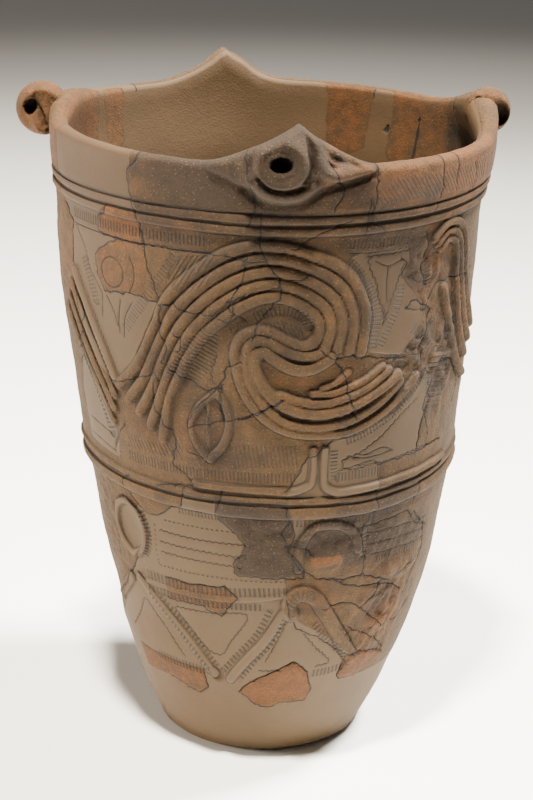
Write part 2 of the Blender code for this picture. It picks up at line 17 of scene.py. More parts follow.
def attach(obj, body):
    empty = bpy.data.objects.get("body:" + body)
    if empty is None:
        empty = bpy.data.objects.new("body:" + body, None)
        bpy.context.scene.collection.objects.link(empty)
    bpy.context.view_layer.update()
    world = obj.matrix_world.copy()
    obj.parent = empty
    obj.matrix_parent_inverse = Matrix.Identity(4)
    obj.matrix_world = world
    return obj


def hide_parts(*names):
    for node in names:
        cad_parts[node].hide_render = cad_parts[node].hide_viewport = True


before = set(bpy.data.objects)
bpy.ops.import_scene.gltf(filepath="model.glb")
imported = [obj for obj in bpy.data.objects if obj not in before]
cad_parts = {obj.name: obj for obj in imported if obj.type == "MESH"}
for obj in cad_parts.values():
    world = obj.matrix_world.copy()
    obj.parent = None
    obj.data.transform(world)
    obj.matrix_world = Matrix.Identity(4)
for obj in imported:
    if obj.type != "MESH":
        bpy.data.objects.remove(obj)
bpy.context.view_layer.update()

MM = 0.001
UNROLL_RADIUS = 140.0
ARC = math.radians(1.0) * UNROLL_RADIUS
HALF_TURN = -180.0
FAR = 9.0
LEAST_HALF = 2.3
HALF_OF_GAP = 0.53
FULL_RISE = 2.4
FLANK_REACH = 1.6
CARVED_PITCH = 3.4
CARVED_DEPTH = 0.35
JOIN_SOFTNESS = 1.5
FILL_REACH = 6.0
CARRIED = ("fill", "warm", "dark", "hollow", "close", "brink", "phase", "edge", "depth", "calm")

Place = tuple[float, float]
Path = tuple[Place, ...]
Layers = tuple[tuple[float, float, int], ...]

log = logging.getLogger("vessel")


def linear(code: str) -> tuple[float, float, float, float]:
    """Turn an sRGB hex colour into linear values.

    Args:
        code: Colour such as "#9a816b".

    Returns:
        Red, green, blue and alpha, linear.
    """
    parts = [int(code[i:i + 2], 16) / 255.0 for i in (1, 3, 5)]
    red, green, blue = [p / 12.92 if p <= 0.04045 else ((p + 0.055) / 1.055) ** 2.4 for p in parts]
    return (red, green, blue, 1.0)


def add_node(tree: bpy.types.NodeTree, kind: str, settings: dict | None = None,
             links: dict | None = None) -> bpy.types.Node:
    """Add one shader node with its settings and links.

    Args:
        tree: Node tree that takes the node.
        kind: Blender's name for the node's type.
        settings: Properties by name, and input values by input name or number.
        links: Sockets to join, by the new node's input name or number.

    Returns:
        The new node.
    """
    node = tree.nodes.new(kind)
    for name, value in (settings or {}).items():
        if isinstance(name, str) and hasattr(node, name):
            setattr(node, name, value)
        else:
            node.inputs[name].default_value = value
    for name, source in (links or {}).items():
        tree.links.new(source, node.inputs[name])
    return node


def fade(tree: bpy.types.NodeTree, value: bpy.types.NodeSocket, low: float, high: float,
         start: float = 0.0, end: float = 1.0, smooth: bool = True) -> bpy.types.NodeSocket:
    """Map a value from one range onto another and hold it there.

    Args:
        tree: Node tree.
        value: Socket to map.
        low: Value that gives the start.
        high: Value that gives the end.
        start: Result at the low value.
        end: Result at the high value.
        smooth: Whether the change eases in and out.

    Returns:
        The result's socket.
    """
    kind = "SMOOTHSTEP" if smooth else "LINEAR"
    settings = {"interpolation_type": kind, "From Min": low, "From Max": high,
                "To Min": start, "To Max": end}
    return add_node(tree, "ShaderNodeMapRange", settings, {"Value": value}).outputs["Result"]


def maths(tree: bpy.types.NodeTree, operation: str, *values: float | bpy.types.NodeSocket,
          clamp: bool = False) -> bpy.types.NodeSocket:
    """Join numbers and sockets by one operation.

    Args:
        tree: Node tree.
        operation: Name of the operation.
        values: Its inputs in order, each a number or a socket.
        clamp: Whether the result is held from 0 to 1.

    Returns:
        The result's socket.
    """
    settings = {"operation": operation, "use_clamp": clamp}
    links = {}
    for slot, value in enumerate(values):
        (settings if isinstance(value, float) else links)[slot] = value
    return add_node(tree, "ShaderNodeMath", settings, links).outputs[0]


def blend(tree: bpy.types.NodeTree, share: bpy.types.NodeSocket, first: str | bpy.types.NodeSocket,
          second: str | bpy.types.NodeSocket) -> bpy.types.NodeSocket:
    """Mix two colours.

    Args:
        tree: Node tree.
        share: Share of the second colour, held from 0 to 1.
        first: First colour, as a code or a socket.
        second: Second colour.

    Returns:
        The mixed colour's socket.
    """
    settings = {"data_type": "RGBA", "clamp_factor": True}
    links = {0: share}
    for slot, colour in ((6, first), (7, second)):
        if isinstance(colour, str):
            settings[slot] = linear(colour)
        else:
            links[slot] = colour
    return add_node(tree, "ShaderNodeMix", settings, links).outputs[2]


def scaled(tree: bpy.types.NodeTree, colour: bpy.types.NodeSocket,
           share: bpy.types.NodeSocket) -> bpy.types.NodeSocket:
    """Make a colour lighter or darker by a share."""
    return add_node(tree, "ShaderNodeVectorMath", {"operation": "SCALE"},
                    {0: colour, "Scale": share}).outputs[0]


def hermite(x: np.ndarray | float, xs: list[float], ys: list[float]) -> np.ndarray:
    """Read a smooth curve through a table.

    Args:
        x: Where to read.
        xs: Rising places of the table.
        ys: Values at those places.

    Returns:
        The curve's values at x.
    """
    xs = np.asarray(xs, float)
    ys = np.asarray(ys, float)
    slope = np.gradient(ys, xs)
    x = np.clip(np.asarray(x, float), xs[0], xs[-1])
    i = np.clip(np.searchsorted(xs, x) - 1, 0, len(xs) - 2)
    span = xs[i + 1] - xs[i]
    t = (x - xs[i]) / span
    a = (1 + 2 * t) * (1 - t) ** 2 * ys[i]
    b = t * (1 - t) ** 2 * span * slope[i]
    c = t * t * (3 - 2 * t) * ys[i + 1]
    d = t * t * (t - 1) * span * slope[i + 1]
    return a + b + c + d


def turn_to(angle: np.ndarray | float, centre: float) -> np.ndarray:
    """Give the signed angle from a centre, half a turn each way at most."""
    return (np.asarray(angle, float) - centre + 180.0) % 360.0 - 180.0


def spline(points: Path, step: float = 1.5) -> np.ndarray:
    """Draw a smooth curve through places on the sheet.

    Args:
        points: Places to pass through.
        step: Length of its straight pieces, in millimetres.

    Returns:
        The curve's points on the sheet, in millimetres.
    """
    p = np.array([(a * ARC, z) for a, z in points], float)
    if len(p) == 2:
        return p
    knots = np.concatenate([[0.0], np.cumsum(np.hypot(*np.diff(p, axis=0).T))])
    count = max(int(knots[-1] / step), 2)
    t = np.linspace(0, knots[-1], count + 1)
    return np.stack([hermite(t, knots, p[:, 0]), hermite(t, knots, p[:, 1])], 1)


def straight(points: Path) -> np.ndarray:
    """Join places on the sheet by straight pieces, in millimetres."""
    return np.array([(a * ARC, z) for a, z in points], float)


def measure(line: np.ndarray, points: np.ndarray) -> tuple[np.ndarray, np.ndarray, np.ndarray]:
    """Measure points against a line of straight pieces.

    Args:
        line: The line's points.
        points: The points to measure.

    Returns:
        Distance from the line, the same with a sign for the side, and the way along it.
    """
    start = line[:-1]
    step = np.diff(line, axis=0)
    length = np.maximum(np.hypot(step[:, 0], step[:, 1]), 1e-6)
    run = np.concatenate([[0.0], np.cumsum(length)])[:-1]
    x = points[:, 0][:, None] - start[:, 0]
    y = points[:, 1][:, None] - start[:, 1]
    t = np.clip((x * step[:, 0] + y * step[:, 1]) / length ** 2, 0, 1)
    d = np.hypot(x - t * step[:, 0], y - t * step[:, 1])
    k = np.argmin(d, axis=1)
    rows = np.arange(len(points))
    best = d[rows, k]
    side = np.sign(step[k, 0] * y[rows, k] - step[k, 1] * x[rows, k])
    return best, best * np.where(side == 0, 1, side), run[k] + t[rows, k] * length[k]


def inside(outline: np.ndarray, points: np.ndarray) -> np.ndarray:
    """Say which points lie in a closed outline, by counting crossings."""
    result = np.zeros(len(points), bool)
    for a, b in zip(outline, np.roll(outline, -1, axis=0)):
        spans = (a[1] > points[:, 1]) != (b[1] > points[:, 1])
        rise = b[1] - a[1] if b[1] != a[1] else 1e-9
        cross = a[0] + (points[:, 1] - a[1]) * (b[0] - a[0]) / rise
        result ^= spans & (points[:, 0] < cross)
    return result


def cloud(s: np.ndarray, h: np.ndarray, size: float, seed: int) -> np.ndarray:
    """Make a smooth random field that closes round the vessel.

    Args:
        s: Places round the sheet, in millimetres.
        h: Heights, in millimetres.
        size: Spacing of its lumps, in millimetres.
        seed: Number that picks the field.

    Returns:
        Values from about -1 to 1.
    """
    around = max(int(round(360.0 * ARC / size)), 3)
    grid = np.random.default_rng(seed).uniform(-1, 1, (around, int(520 / size) + 4))
    x = (s / (360.0 * ARC) * around) % around
    y = np.clip(h / size + 1, 0, grid.shape[1] - 2.001)
    i = x.astype(int) % around
    j = y.astype(int)
    u = (x % 1.0) ** 2 * (3 - 2 * (x % 1.0))
    v = (y % 1.0) ** 2 * (3 - 2 * (y % 1.0))
    n = (i + 1) % around
    low = grid[i, j] * (1 - u) + grid[n, j] * u
    high = grid[i, j + 1] * (1 - u) + grid[n, j + 1] * u
    return low * (1 - v) + high * v


def uneven(s: np.ndarray, h: np.ndarray, layers: Layers) -> np.ndarray:
    """Add up layers of unevenness, each a height, a spacing of lumps and a seed."""
    return sum(height * cloud(s, h, size, seed) for height, size, seed in layers)


@dataclass(frozen=True)
class Lug:
    """A lug on the rim: its angle, its rise, its reach to each side and its slope's curve."""

    angle: float
    rise: float
    left: float
    right: float
    curve: float

    def peak(self, angle: np.ndarray) -> np.ndarray:
        """Give the rim's rise under a pointed lug."""
        d = turn_to(angle, self.angle)
        reach = np.where(d < 0, self.left, self.right)
        return self.rise * np.clip(1 - np.abs(d) / reach, 0, 1) ** self.curve

    def swell(self, angle: np.ndarray) -> np.ndarray:
        """Give the share of a rounded lug's swelling."""
        d = turn_to(angle, self.angle)
        reach = np.where(d < 0, self.left, self.right)
        return np.cos(np.clip(np.abs(d) / reach, 0, 1) * math.pi / 2) ** self.curve


@dataclass(frozen=True)
class Body:
    """Plain form of the wall: height, outside radius and sideways lean, and the rim over it."""

    rows: tuple[tuple[float, float, float], ...] = (
        (0, 70.5, 0.0), (2, 74.2, 0.0), (7, 76.8, 0.1), (30, 87.4, 0.6), (56, 96.6, 1.2),
        (81, 105.0, 2.2), (106, 110.5, 3.8), (131, 116.9, 4.0), (155, 121.6, 3.4), (191, 127.2, 3.2),
        (226, 133.0, 2.2), (255, 136.0, 1.2), (300, 140.4, 0.0), (350, 144.4, -1.6), (403, 147.0, -0.8),
        (424, 149.6, 0.6), (480, 150.8, 1.0),
    )
    wall: float = 9.5
    floor: float = 14.0
    corner: float = 26.0
    crest: float = 450.0
    wave: float = 2.0
    wave_angle: float = -80.0
    neck: float = 420.0
    edge: float = 445.0
    roll: float = 4.5
    saddle_roll: float = 6.5
    saddle_in: tuple[float, float] = (6.0, 10.0)
    nub: tuple[float, float] = (1.5, 2.0)
    shoulder: tuple[float, float, float] = (3.0, -5.0, 3.0)
    front: Lug = Lug(6.0, 26.5, 24.0, 20.0, 1.45)
    back: Lug = Lug(-165.0, 21.0, 20.0, 23.0, 2.0)
    left: Lug = Lug(-91.0, 11.0, 46.0, 16.0, 2.6)
    right: Lug = Lug(93.0, 20.0, 24.0, 42.0, 2.6)

    def radius(self, z: np.ndarray | float) -> np.ndarray:
        """Read the outside radius at a height."""
        return hermite(z, [row[0] for row in self.rows], [row[1] for row in self.rows])

    def lean(self, z: np.ndarray | float) -> np.ndarray:
        """Read the sideways shift at a height."""
        return hermite(z, [row[0] for row in self.rows], [row[2] for row in self.rows])

    def side(self, angle: np.ndarray) -> np.ndarray:
        """Give the joint swelling of both ring lugs."""
        return np.maximum(self.left.swell(angle), self.right.swell(angle))

    def top(self, angle: np.ndarray) -> np.ndarray:
        """Give the height of the rim's crest."""
        wave = self.wave * np.cos(np.radians(turn_to(angle, self.wave_angle)))
        off = turn_to(angle, self.back.angle)
        nub = self.nub[0] * np.exp(-(off / self.nub[1]) ** 2)
        shoulder = self.shoulder[0] * np.exp(-((off - self.shoulder[1]) / self.shoulder[2]) ** 2)
        peaks = self.front.peak(angle) + self.back.peak(angle) + nub + shoulder
        sides = self.left.rise * self.left.swell(angle) + self.right.rise * self.right.swell(angle)
        return self.crest + wave + peaks + sides

    def lip(self, angle: np.ndarray) -> np.ndarray:
        """Give the height of the rounded lip alone."""
        return self.roll + self.saddle_roll * self.side(angle)

    def place(self, angle: np.ndarray, radius: np.ndarray, z: np.ndarray) -> np.ndarray:
        """Turn angles, radii and heights into points, in millimetres."""
        turn = np.radians(angle)
        return np.stack([self.lean(z) + radius * np.sin(turn), -radius * np.cos(turn), z], 1)

    def real(self, angle: np.ndarray, level: np.ndarray) -> np.ndarray:
        """Turn a height on the sheet into the real one, stretched under the lugs.

        Args:
            angle: Angle of each point.
            level: Height of each point on the sheet.

        Returns:
            Real heights.
        """
        edge = self.top(angle) - self.lip(angle)
        share = (level - self.neck) / (self.edge - self.neck)
        return np.where(share > 0, self.neck + share * (edge - self.neck), level)

    def bore(self, angle: np.ndarray, z: np.ndarray) -> np.ndarray:
        """Give the radius of the inside, with its saddles and rounded floor corner."""
        share = np.clip((z - self.neck + 2.0) / 34.0, 0, 1) ** 1.5
        left, right = self.saddle_in
        swollen = left * self.left.swell(angle) + right * self.right.swell(angle)
        plain = self.radius(z) - self.wall - swollen * share
        t = np.clip(1 - (z - self.floor) / self.corner, 0, 1)
        return plain - self.corner * (1 - np.sqrt(1 - t * t))


class Mark(Enum):
    """What a mark on the clay is, by the attribute that carries it."""

    LINE = "line"
    CRACK = "crack"


@dataclass(frozen=True)
class Ridge:
    """One coil of clay, or several spread between two paths."""

    first: Path
    last: Path | None
    count: int
    half: float
    rise: float
    turn: float = 0.0

    def lines(self) -> list[np.ndarray]:
        """Give the middle line of each coil on the sheet."""
        shift = np.array([self.turn * ARC, 0.0])
        if self.last is None:
            return [spline(self.first) + shift]
        a = np.array(self.first, float)
        b = np.array(self.last, float)
        shares = [k / (self.count - 1) for k in range(self.count)]
        return [spline(tuple(map(tuple, a * (1 - t) + b * t))) + shift for t in shares]


@dataclass(frozen=True)
class Strokes:
    """A row of short strokes pressed across a path."""

    path: Path
    half: float
    pitch: float
    depth: float = 1.0


@dataclass(frozen=True)
class Comb:
    """A field filled with parallel combed strokes."""

    outline: Path
    heading: float
    pitch: float
    depth: float = 1.0


@dataclass(frozen=True)
class Patch:
    """An outlined sherd or fill: how far it stands out, its warmth, and its darkness, which is smoke on
    most sherds and painted light on the inner left one.
    """

    outline: Path
    lift: float = 0.0
    warm: float = 0.0
    dark: float = 0.0
    fill: bool = False


@dataclass(frozen=True)
class Tint:
    """A soft spot of warmer, darker or more worn clay."""

    angle: float
    height: float
    across: float
    up: float
    warm: float = 0.0
    dark: float = 0.0
    worn: float = 0.0


class Sheet:
    """Relief and surface marks at every point of the unrolled wall."""

    def __init__(self, body: Body, angle: np.ndarray, level: np.ndarray) -> None:
        """Lay out the sheet.

        Args:
            body: Form that the sheet wraps.
            angle: Angle of each point.
            level: Height of each point on the sheet.
        """
        self.body = body
        self.angle = angle
        self.level = level
        self.points = np.stack([angle * ARC, level], 1)
        self.z = body.real(angle, level)
        count = len(angle)
        self.coil = np.zeros(count)
        self.close = np.zeros(count)
        self.brink = np.full(count, 6.0)
        self.rise = np.zeros(count)
        self.marks = {mark: (np.full(count, FAR), np.full(count, FAR)) for mark in Mark}
        self.phase = np.zeros(count)
        self.edge = np.full(count, -4.0)
        self.depth = np.zeros(count)
        self.fill = np.full(count, -6.0)
        self.warm = np.zeros(count)
        self.dark = np.zeros(count)
        self.worn = np.zeros(count)
        self.hollow = np.zeros(count)
        self.calm = np.zeros(count)

    def near(self, line: np.ndarray, reach: float) -> np.ndarray:
        """Pick the points close to a line's box.

        Args:
            line: Points of the line on the sheet.
            reach: Margin round its box.

        Returns:
            Numbers of the points.
        """
        low = line.min(axis=0) - reach
        high = line.max(axis=0) + reach
        return np.nonzero(np.all((self.points > low) & (self.points < high), axis=1))[0]

    def ridge(self, ridge: Ridge) -> None:
        """Lay coils on the wall, each narrower where its neighbour comes close."""
        lines = ridge.lines()
        for number, line in enumerate(lines):
            pick = self.near(line, ridge.half + 4.0)
            if not len(pick):
                continue
            d, _, along = measure(line, self.points[pick])
            half = np.full(len(pick), ridge.half)
            if len(lines) > 1:
                gap = measure(lines[number - 1 if number else 1], line)[0]
                way = np.concatenate([[0.0], np.cumsum(np.hypot(*np.diff(line, axis=0).T))])
                half = np.interp(along, way, np.clip(HALF_OF_GAP * gap, LEAST_HALF, ridge.half))
            self.lay(pick, d, half, ridge.rise)

    def lay(self, pick: np.ndarray, d: np.ndarray, half: np.ndarray | float, rise: float) -> None:
        """Raise a round section and note its flanks, which take painted shade between coils.

        Args:
            pick: Numbers of the points near it.
            d: Their distances from its middle line.
            half: Half its width.
            rise: How far it stands out.
        """
        share = np.clip(1 - (d / half) ** 2, 0, 1) ** 0.6
        self.coil[pick] = np.maximum(self.coil[pick], rise * share)
        self.brink[pick] = np.minimum(self.brink[pick], d - half)
        weight = min(rise / FULL_RISE, 1.0)
        # Painted shade: the flank share (close) darkens the grooves between neighbouring coils.
        flank = weight * np.clip(1 - (d - half) / FLANK_REACH, 0, 1)
        self.close[pick] = np.maximum(self.close[pick], flank)

    def band(self, heights: Path, half: float, rise: float) -> None:
        """Lay a rounded band right round the wall.

        Args:
            heights: Height at each angle, level round the hidden side.
            half: Half its width.
            rise: How far it stands out.
        """
        level = (heights[0][1] + heights[-1][1]) / 2
        angles = [-180.0, -120.0] + [p[0] for p in heights] + [120.0, 180.0]
        table = [level, level] + [p[1] for p in heights] + [level, level]
        d = np.abs(self.level - np.interp(turn_to(self.angle, 0.0), angles, table))
        self.lay(np.arange(len(d)), d, half, rise)

    def oval(self, angle: float, height: float, across: float, up: float, rise: float) -> None:
        """Raise or sink a rounded oval."""
        e = np.hypot(turn_to(self.angle, angle) * ARC / across, (self.level - height) / up)
        self.rise += rise * np.clip(1 - e ** 2, 0, 1) ** 0.7

    def mark(self, mark: Mark, line: np.ndarray, half: float, depth: float) -> None:
        """Cut a fine line and note how near each point is to it.

        Args:
            mark: Whether the line is incised or a crack.
            line: Points of the line on the sheet.
            half: Half the width of the cut.
            depth: Depth of the cut.
        """
        pick = self.near(line, 6.0)
        if not len(pick):
            return
        d, signed, _ = measure(line, self.points[pick])
        closest, side = self.marks[mark]
        better = d < closest[pick]
        closest[pick[better]] = d[better]
        side[pick[better]] = signed[better]
        self.rise[pick] -= depth * np.clip(1 - d / half, 0, 1)

    def strokes(self, row: Strokes) -> None:
        """Press a row of strokes across a path."""
        line = spline(row.path)
        pick = self.near(line, row.half + 3.0)
        if not len(pick):
            return
        d, _, along = measure(line, self.points[pick])
        edge = row.half - d
        better = edge > self.edge[pick]
        chosen = pick[better]
        self.edge[chosen] = edge[better]
        self.phase[chosen] = along[better] / row.pitch
        self.depth[chosen] = row.depth
        if row.pitch > CARVED_PITCH:
            wave = np.cos(along * 2 * math.pi / row.pitch)
            self.rise[pick] -= CARVED_DEPTH * row.depth * wave * np.clip(edge, 0, 1)

    def comb(self, comb: Comb) -> None:
        """Comb a field with parallel strokes."""
        outline = straight(comb.outline)
        pick = self.near(outline, 3.0)
        points = self.points[pick]
        closed = np.vstack([outline, outline[:1]])
        edge = measure(closed, points)[0] * np.where(inside(outline, points), 1, -1)
        better = edge > self.edge[pick]
        chosen = pick[better]
        heading = math.radians(comb.heading)
        across = points[:, 0] * math.cos(heading) + points[:, 1] * math.sin(heading)
        self.edge[chosen] = edge[better]
        self.phase[chosen] = across[better] / comb.pitch
        self.depth[chosen] = comb.depth

    def patch(self, patch: Patch) -> None:
        """Set a sherd or a fill into the wall."""
        outline = straight(patch.outline)
        pick = self.near(outline, 6.0)
        points = self.points[pick]
        closed = np.vstack([outline, outline[:1]])
        edge = measure(closed, points)[0] * np.where(inside(outline, points), 1, -1)
        share = np.clip(edge / JOIN_SOFTNESS, 0, 1)
        within = np.clip(edge, -FILL_REACH, FILL_REACH)
        self.rise[pick] += patch.lift * share
        if patch.fill:
            self.fill[pick] = np.maximum(self.fill[pick], within)
            return
        self.fill[pick] = np.minimum(self.fill[pick], -within)
        self.warm[pick] += (patch.warm - self.warm[pick]) * share
        self.dark[pick] += (patch.dark - self.dark[pick]) * share

    def tint(self, tint: Tint) -> None:
        """Warm, darken or wear a soft spot; some tints darken for smoke, some paint shade."""
        across = turn_to(self.angle, tint.angle) * ARC / tint.across
        share = np.exp(-(across ** 2 + ((self.level - tint.height) / tint.up) ** 2))
        self.warm += tint.warm * share
        self.dark += tint.dark * share
        self.worn += tint.worn * share


@dataclass(frozen=True)
class RimBand:
    """Plain band under the lip, its grooves, and the bosses with blind eyes under the peaks."""

    boss_shift: float = -3.6
    boss_height: float = 453.0
    boss_across: float = 31.0
    boss_down: float = 31.0
    boss_out: float = 15.0
    boss_from_axis: float = 152.0
    eye: float = 5.2
    eye_depth: float = 14.0
    eye_place: Place = (-1.6, 1.2)
    eye_oval: float = 1.28
    ring: float = 13.2
    ring_width: float = 2.9
    ring_rise: float = 4.2
    upper: Path = ((-75, 417.2), (-20, 417.2), (10, 415.6), (75, 415.4))
    lower: Path = ((-75, 409.8), (-20, 409.6), (10, 408), (75, 407.8))
    step: Path = ((-75, 420.8), (-20, 420.6), (10, 419.4), (75, 419.2))
    band_half: float = 3.5
    band_rise: float = 2.5
    overhang: float = 2.2

    def carving(self) -> list[tuple[Path, float, float]]:
        """List the rolls and grooves of the front boss, in millimetres from its middle."""
        return [
            (((15, 26), (18.5, 14), (20.5, 4), (24, -4), (31, -8), (43, -6.5), (61, -3)), 4.4, 6.0),
            (((-19, -9), (-11, -17.5), (-1, -20.6), (10, -19.5), (19, -14)), 3.6, 3.6),
            (((-43, 0), (-32, -3.5), (-22, -9)), 7.6, 4.0),
            (((9, 22), (14, 15), (16.4, 6), (16, -3), (12, -10)), 1.9, -3.0),
            (((-15, -8), (-9, -13.4), (0.5, -15.6), (11, -14)), 1.7, -3.0),
            (((20.5, 22), (25, 11), (32, 2), (46, -0.5)), 3.0, -2.8),
            (((-17, 12), (-18.8, 4), (-19, -4), (-17.5, -9)), 1.7, -2.4),
            (((-24, -16), (-12, -25), (0, -27), (13, -25.5), (25, -18), (40, -14), (58, -9)), 3.4, -2.2),
        ]

    def boss(self, body: Body, sheet: Sheet, lug: Lug) -> np.ndarray:
        """Shape the boss, raised ring and blind eye under a peaked lug, with painted shade in the eye
        and the carved grooves.

        Args:
            body: Form that carries it.
            sheet: Sheet with the real heights.
            lug: The peaked lug.

        Returns:
            Outward rise at each point.
        """
        across = turn_to(sheet.angle, lug.angle + self.boss_shift)
        across = across * math.radians(1.0) * self.boss_from_axis
        up = sheet.z - self.boss_height
        reach = np.where(up < 0, self.boss_down, self.boss_down * 1.15)
        e = np.sqrt((across / self.boss_across) ** 2 + (up / reach) ** 2)
        mound = self.boss_out * np.cos(np.clip(e, 0, 1) * math.pi / 2) ** 1.5
        x = across - self.eye_place[0]
        y = up - self.eye_place[1]
        r = np.hypot(x, y)
        ring = self.ring_rise * np.exp(-((r - self.ring) / self.ring_width) ** 2)
        oval = np.hypot(x / self.eye_oval, y)
        hole = self.eye_depth * np.clip(1 - (oval / self.eye) ** 4, 0, 1) ** 0.7
        # Painted shade in the blind eye: hollow darkens the hole and its mouth.
        sheet.hollow = np.maximum(sheet.hollow, 1.6 * np.clip(1.3 - oval / self.eye, 0, 1))
        rise = mound + ring - hole
        if lug is body.front:
            pick = np.nonzero((np.abs(across) < 75) & (np.abs(up) < 50))[0]
            points = np.stack([across[pick], up[pick]], 1)
            for path, half, height in self.carving():
                line = spline(tuple((a / ARC, b) for a, b in path))
                d = measure(line, points)[0]
                rise[pick] += height * np.clip(1 - (d / half) ** 2, 0, 1) ** 0.8
                # Painted shade in the carved grooves: hollow darkens the sunk paths.
                dim = np.clip(1 - np.abs(d) / half, 0, 1) * (0.8 if height < 0 else 0.0)
                sheet.hollow[pick] = np.maximum(sheet.hollow[pick], dim)
        return rise

    def dress(self, sheet: Sheet) -> None:
        """Press the band, the two cords under it and both bosses into the sheet, with a painted shadow
        line under the band's step.
        """
        sheet.band(self.upper, self.band_half, self.band_rise)
        sheet.band(self.lower, self.band_half, self.band_rise)
        angles = [-180.0] + [p[0] for p in self.step] + [180.0]
        level = (self.step[0][1] + self.step[-1][1]) / 2
        heights = [level] + [p[1] for p in self.step] + [level]
        line = np.interp(turn_to(sheet.angle, 0.0), angles, heights)
        over = np.clip((sheet.level - line) / 1.6, 0, 1)
        sheet.rise += self.overhang * over
        # Painted shadow: a dark line just under the overhanging step of the rim band.
        sheet.hollow = np.maximum(sheet.hollow, np.exp(-((sheet.level - line + 0.4) / 0.9) ** 2))
        for lug in (sheet.body.front, sheet.body.back):
            sheet.rise += self.boss(sheet.body, sheet, lug)


@dataclass(frozen=True)
class UpperFrieze:
    """Sweep, swirl, arms and arches between the rim band and the waist."""

    sweep_outer: Path = (
        (-44.5, 289), (-38, 304), (-30, 337), (-25, 361), (-20, 374), (-15, 384.5), (-10, 393),
        (-5, 398), (0, 399.5), (6, 397.5), (12, 392), (17, 386), (21, 378), (24, 366), (26, 352),
        (26, 340), (25, 325),
    )
    sweep_inner: Path = (
        (-30, 259), (-28.5, 274), (-26.8, 290), (-24, 304), (-20, 323), (-15.5, 338), (-10.5, 350),
        (-5, 360), (0, 365), (4, 365), (8, 361.5), (11, 356), (13, 350), (13.6, 345), (13.6, 341),
        (13, 337), (12, 334),
    )
    left_arm_inner: Path = ((-61, 358), (-56, 340), (-52, 322), (-48.5, 304), (-46, 291))
    left_arm_outer: Path = ((-69, 328), (-63, 308), (-58, 290), (-53, 274), (-49, 260))
    swirl_outer: Path = (
        (12, 334), (10, 332), (7, 334), (3, 339.5), (0, 342.5), (-3, 342), (-6, 338), (-7.8, 329),
        (-7.6, 315), (-6.3, 302), (-4, 291), (0, 280), (5, 272.5), (10, 269.5), (16, 268.5), (22, 269),
        (30, 275.5), (38, 287), (44, 300),
    )
    swirl_middle: Path = (
        (15, 328), (12, 325.7), (9, 325.8), (6, 328), (3, 332), (0, 335.5), (-2, 336.3), (-4, 333),
        (-5, 325), (-4.8, 312), (-3.3, 300), (0, 289), (4, 280), (10, 275.3), (16, 274.8), (22, 277),
        (30, 285), (38, 299),
    )
    swirl_bold: Path = (
        (16.5, 323), (14, 319), (11, 316), (8, 316), (5, 318.7), (2, 324), (-0.7, 328.5), (-2.3, 327),
        (-3, 320), (-2.4, 311), (-0.3, 301), (3.5, 292.5), (8, 286.6), (14, 284.2), (20, 285.5),
        (26, 290.5), (32, 297.5), (37, 304),
    )
    swirl_low: Path = ((3.5, 298), (8, 293.8), (14, 291), (20, 293.3), (26, 298), (34, 309))
    swirl_short: Path = ((12, 299), (17, 298), (21, 300.3), (26, 304), (32, 312.5))
    swirl_stub: Path = ((14.5, 302.5), (18, 305), (22, 312))
    short_sweep: Path = ((-20, 325), (-17, 336), (-14, 344), (-11, 349))
    arch_outer: Path = (
        (47, 393), (51, 400.5), (56, 401), (61, 394), (63.5, 380), (65.5, 358), (70, 336), (76, 317),
    )
    arch_inner: Path = (
        (50.5, 385), (53.5, 390), (56.5, 388), (58.3, 379), (59, 366), (61.5, 340), (66, 315), (72, 298),
    )
    arch_tail: Path = ((53, 357), (56, 341), (59.5, 323), (63, 306), (68, 292), (74, 282))
    frame_left: Path = (
        (12.8, 258), (12.8, 241), (12, 232.5), (9, 229), (-2, 229), (-12, 229.5), (-21, 229.5),
    )
    frame_right: Path = (
        (16, 258), (15.8, 240), (16.2, 231), (19, 226), (26, 224.8), (40, 226), (63, 228.5),
    )
    lens_stem: Path = ((-13, 297), (-10.8, 288), (-10.2, 275), (-12, 261), (-16, 249))
    lens_edge: Path = ((-14, 297), (-18.5, 286), (-21, 271), (-20, 260), (-17, 250))
    lens_rib: Path = ((-15.5, 290), (-16, 274), (-16, 259))
    stroke_pitch: float = 2.6
    ladder_pitch: float = 3.2

    def ridges(self) -> list[Ridge]:
        """List the coils of the front."""
        return [
            Ridge(self.sweep_outer, self.sweep_inner, 5, 4.3, 3.6),
            Ridge(self.left_arm_inner, self.left_arm_outer, 4, 4.6, 3.0),
            Ridge(self.swirl_outer, None, 1, 3.7, 3.4),
            Ridge(self.swirl_middle, None, 1, 4.2, 3.9),
            Ridge(self.swirl_bold, None, 1, 4.8, 4.6),
            Ridge(self.swirl_low, None, 1, 3.6, 3.9),
            Ridge(self.swirl_short, None, 1, 3.1, 2.9),
            Ridge(self.swirl_stub, None, 1, 2.7, 2.5),
            Ridge(self.short_sweep, None, 1, 3.2, 2.6),
            Ridge(self.arch_outer, self.arch_inner, 3, 4.3, 4.0),
            Ridge(self.arch_tail, None, 1, 4.0, 3.6),
            Ridge(self.frame_left, None, 1, 3.2, 2.6),
            Ridge(self.frame_right, None, 1, 3.4, 2.8),
            Ridge(self.lens_stem, None, 1, 3.0, 2.4),
            Ridge(self.lens_edge, None, 1, 2.6, 2.0),
            Ridge(self.lens_rib, None, 1, 1.9, 1.2),
        ]

    def back_ridges(self) -> list[Ridge]:
        """List the plainer coils of the hidden side."""
        return [
            Ridge(self.sweep_outer, self.sweep_inner, 3, 5.8, 2.7, HALF_TURN),
            Ridge(self.left_arm_inner, self.left_arm_outer, 2, 5.4, 2.5, HALF_TURN),
            Ridge(self.swirl_outer[4:], None, 1, 4.6, 2.7, HALF_TURN),
            Ridge(self.swirl_bold, None, 1, 4.8, 3.3, HALF_TURN),
            Ridge(self.arch_outer, self.arch_inner, 2, 4.8, 2.7, HALF_TURN),
        ]

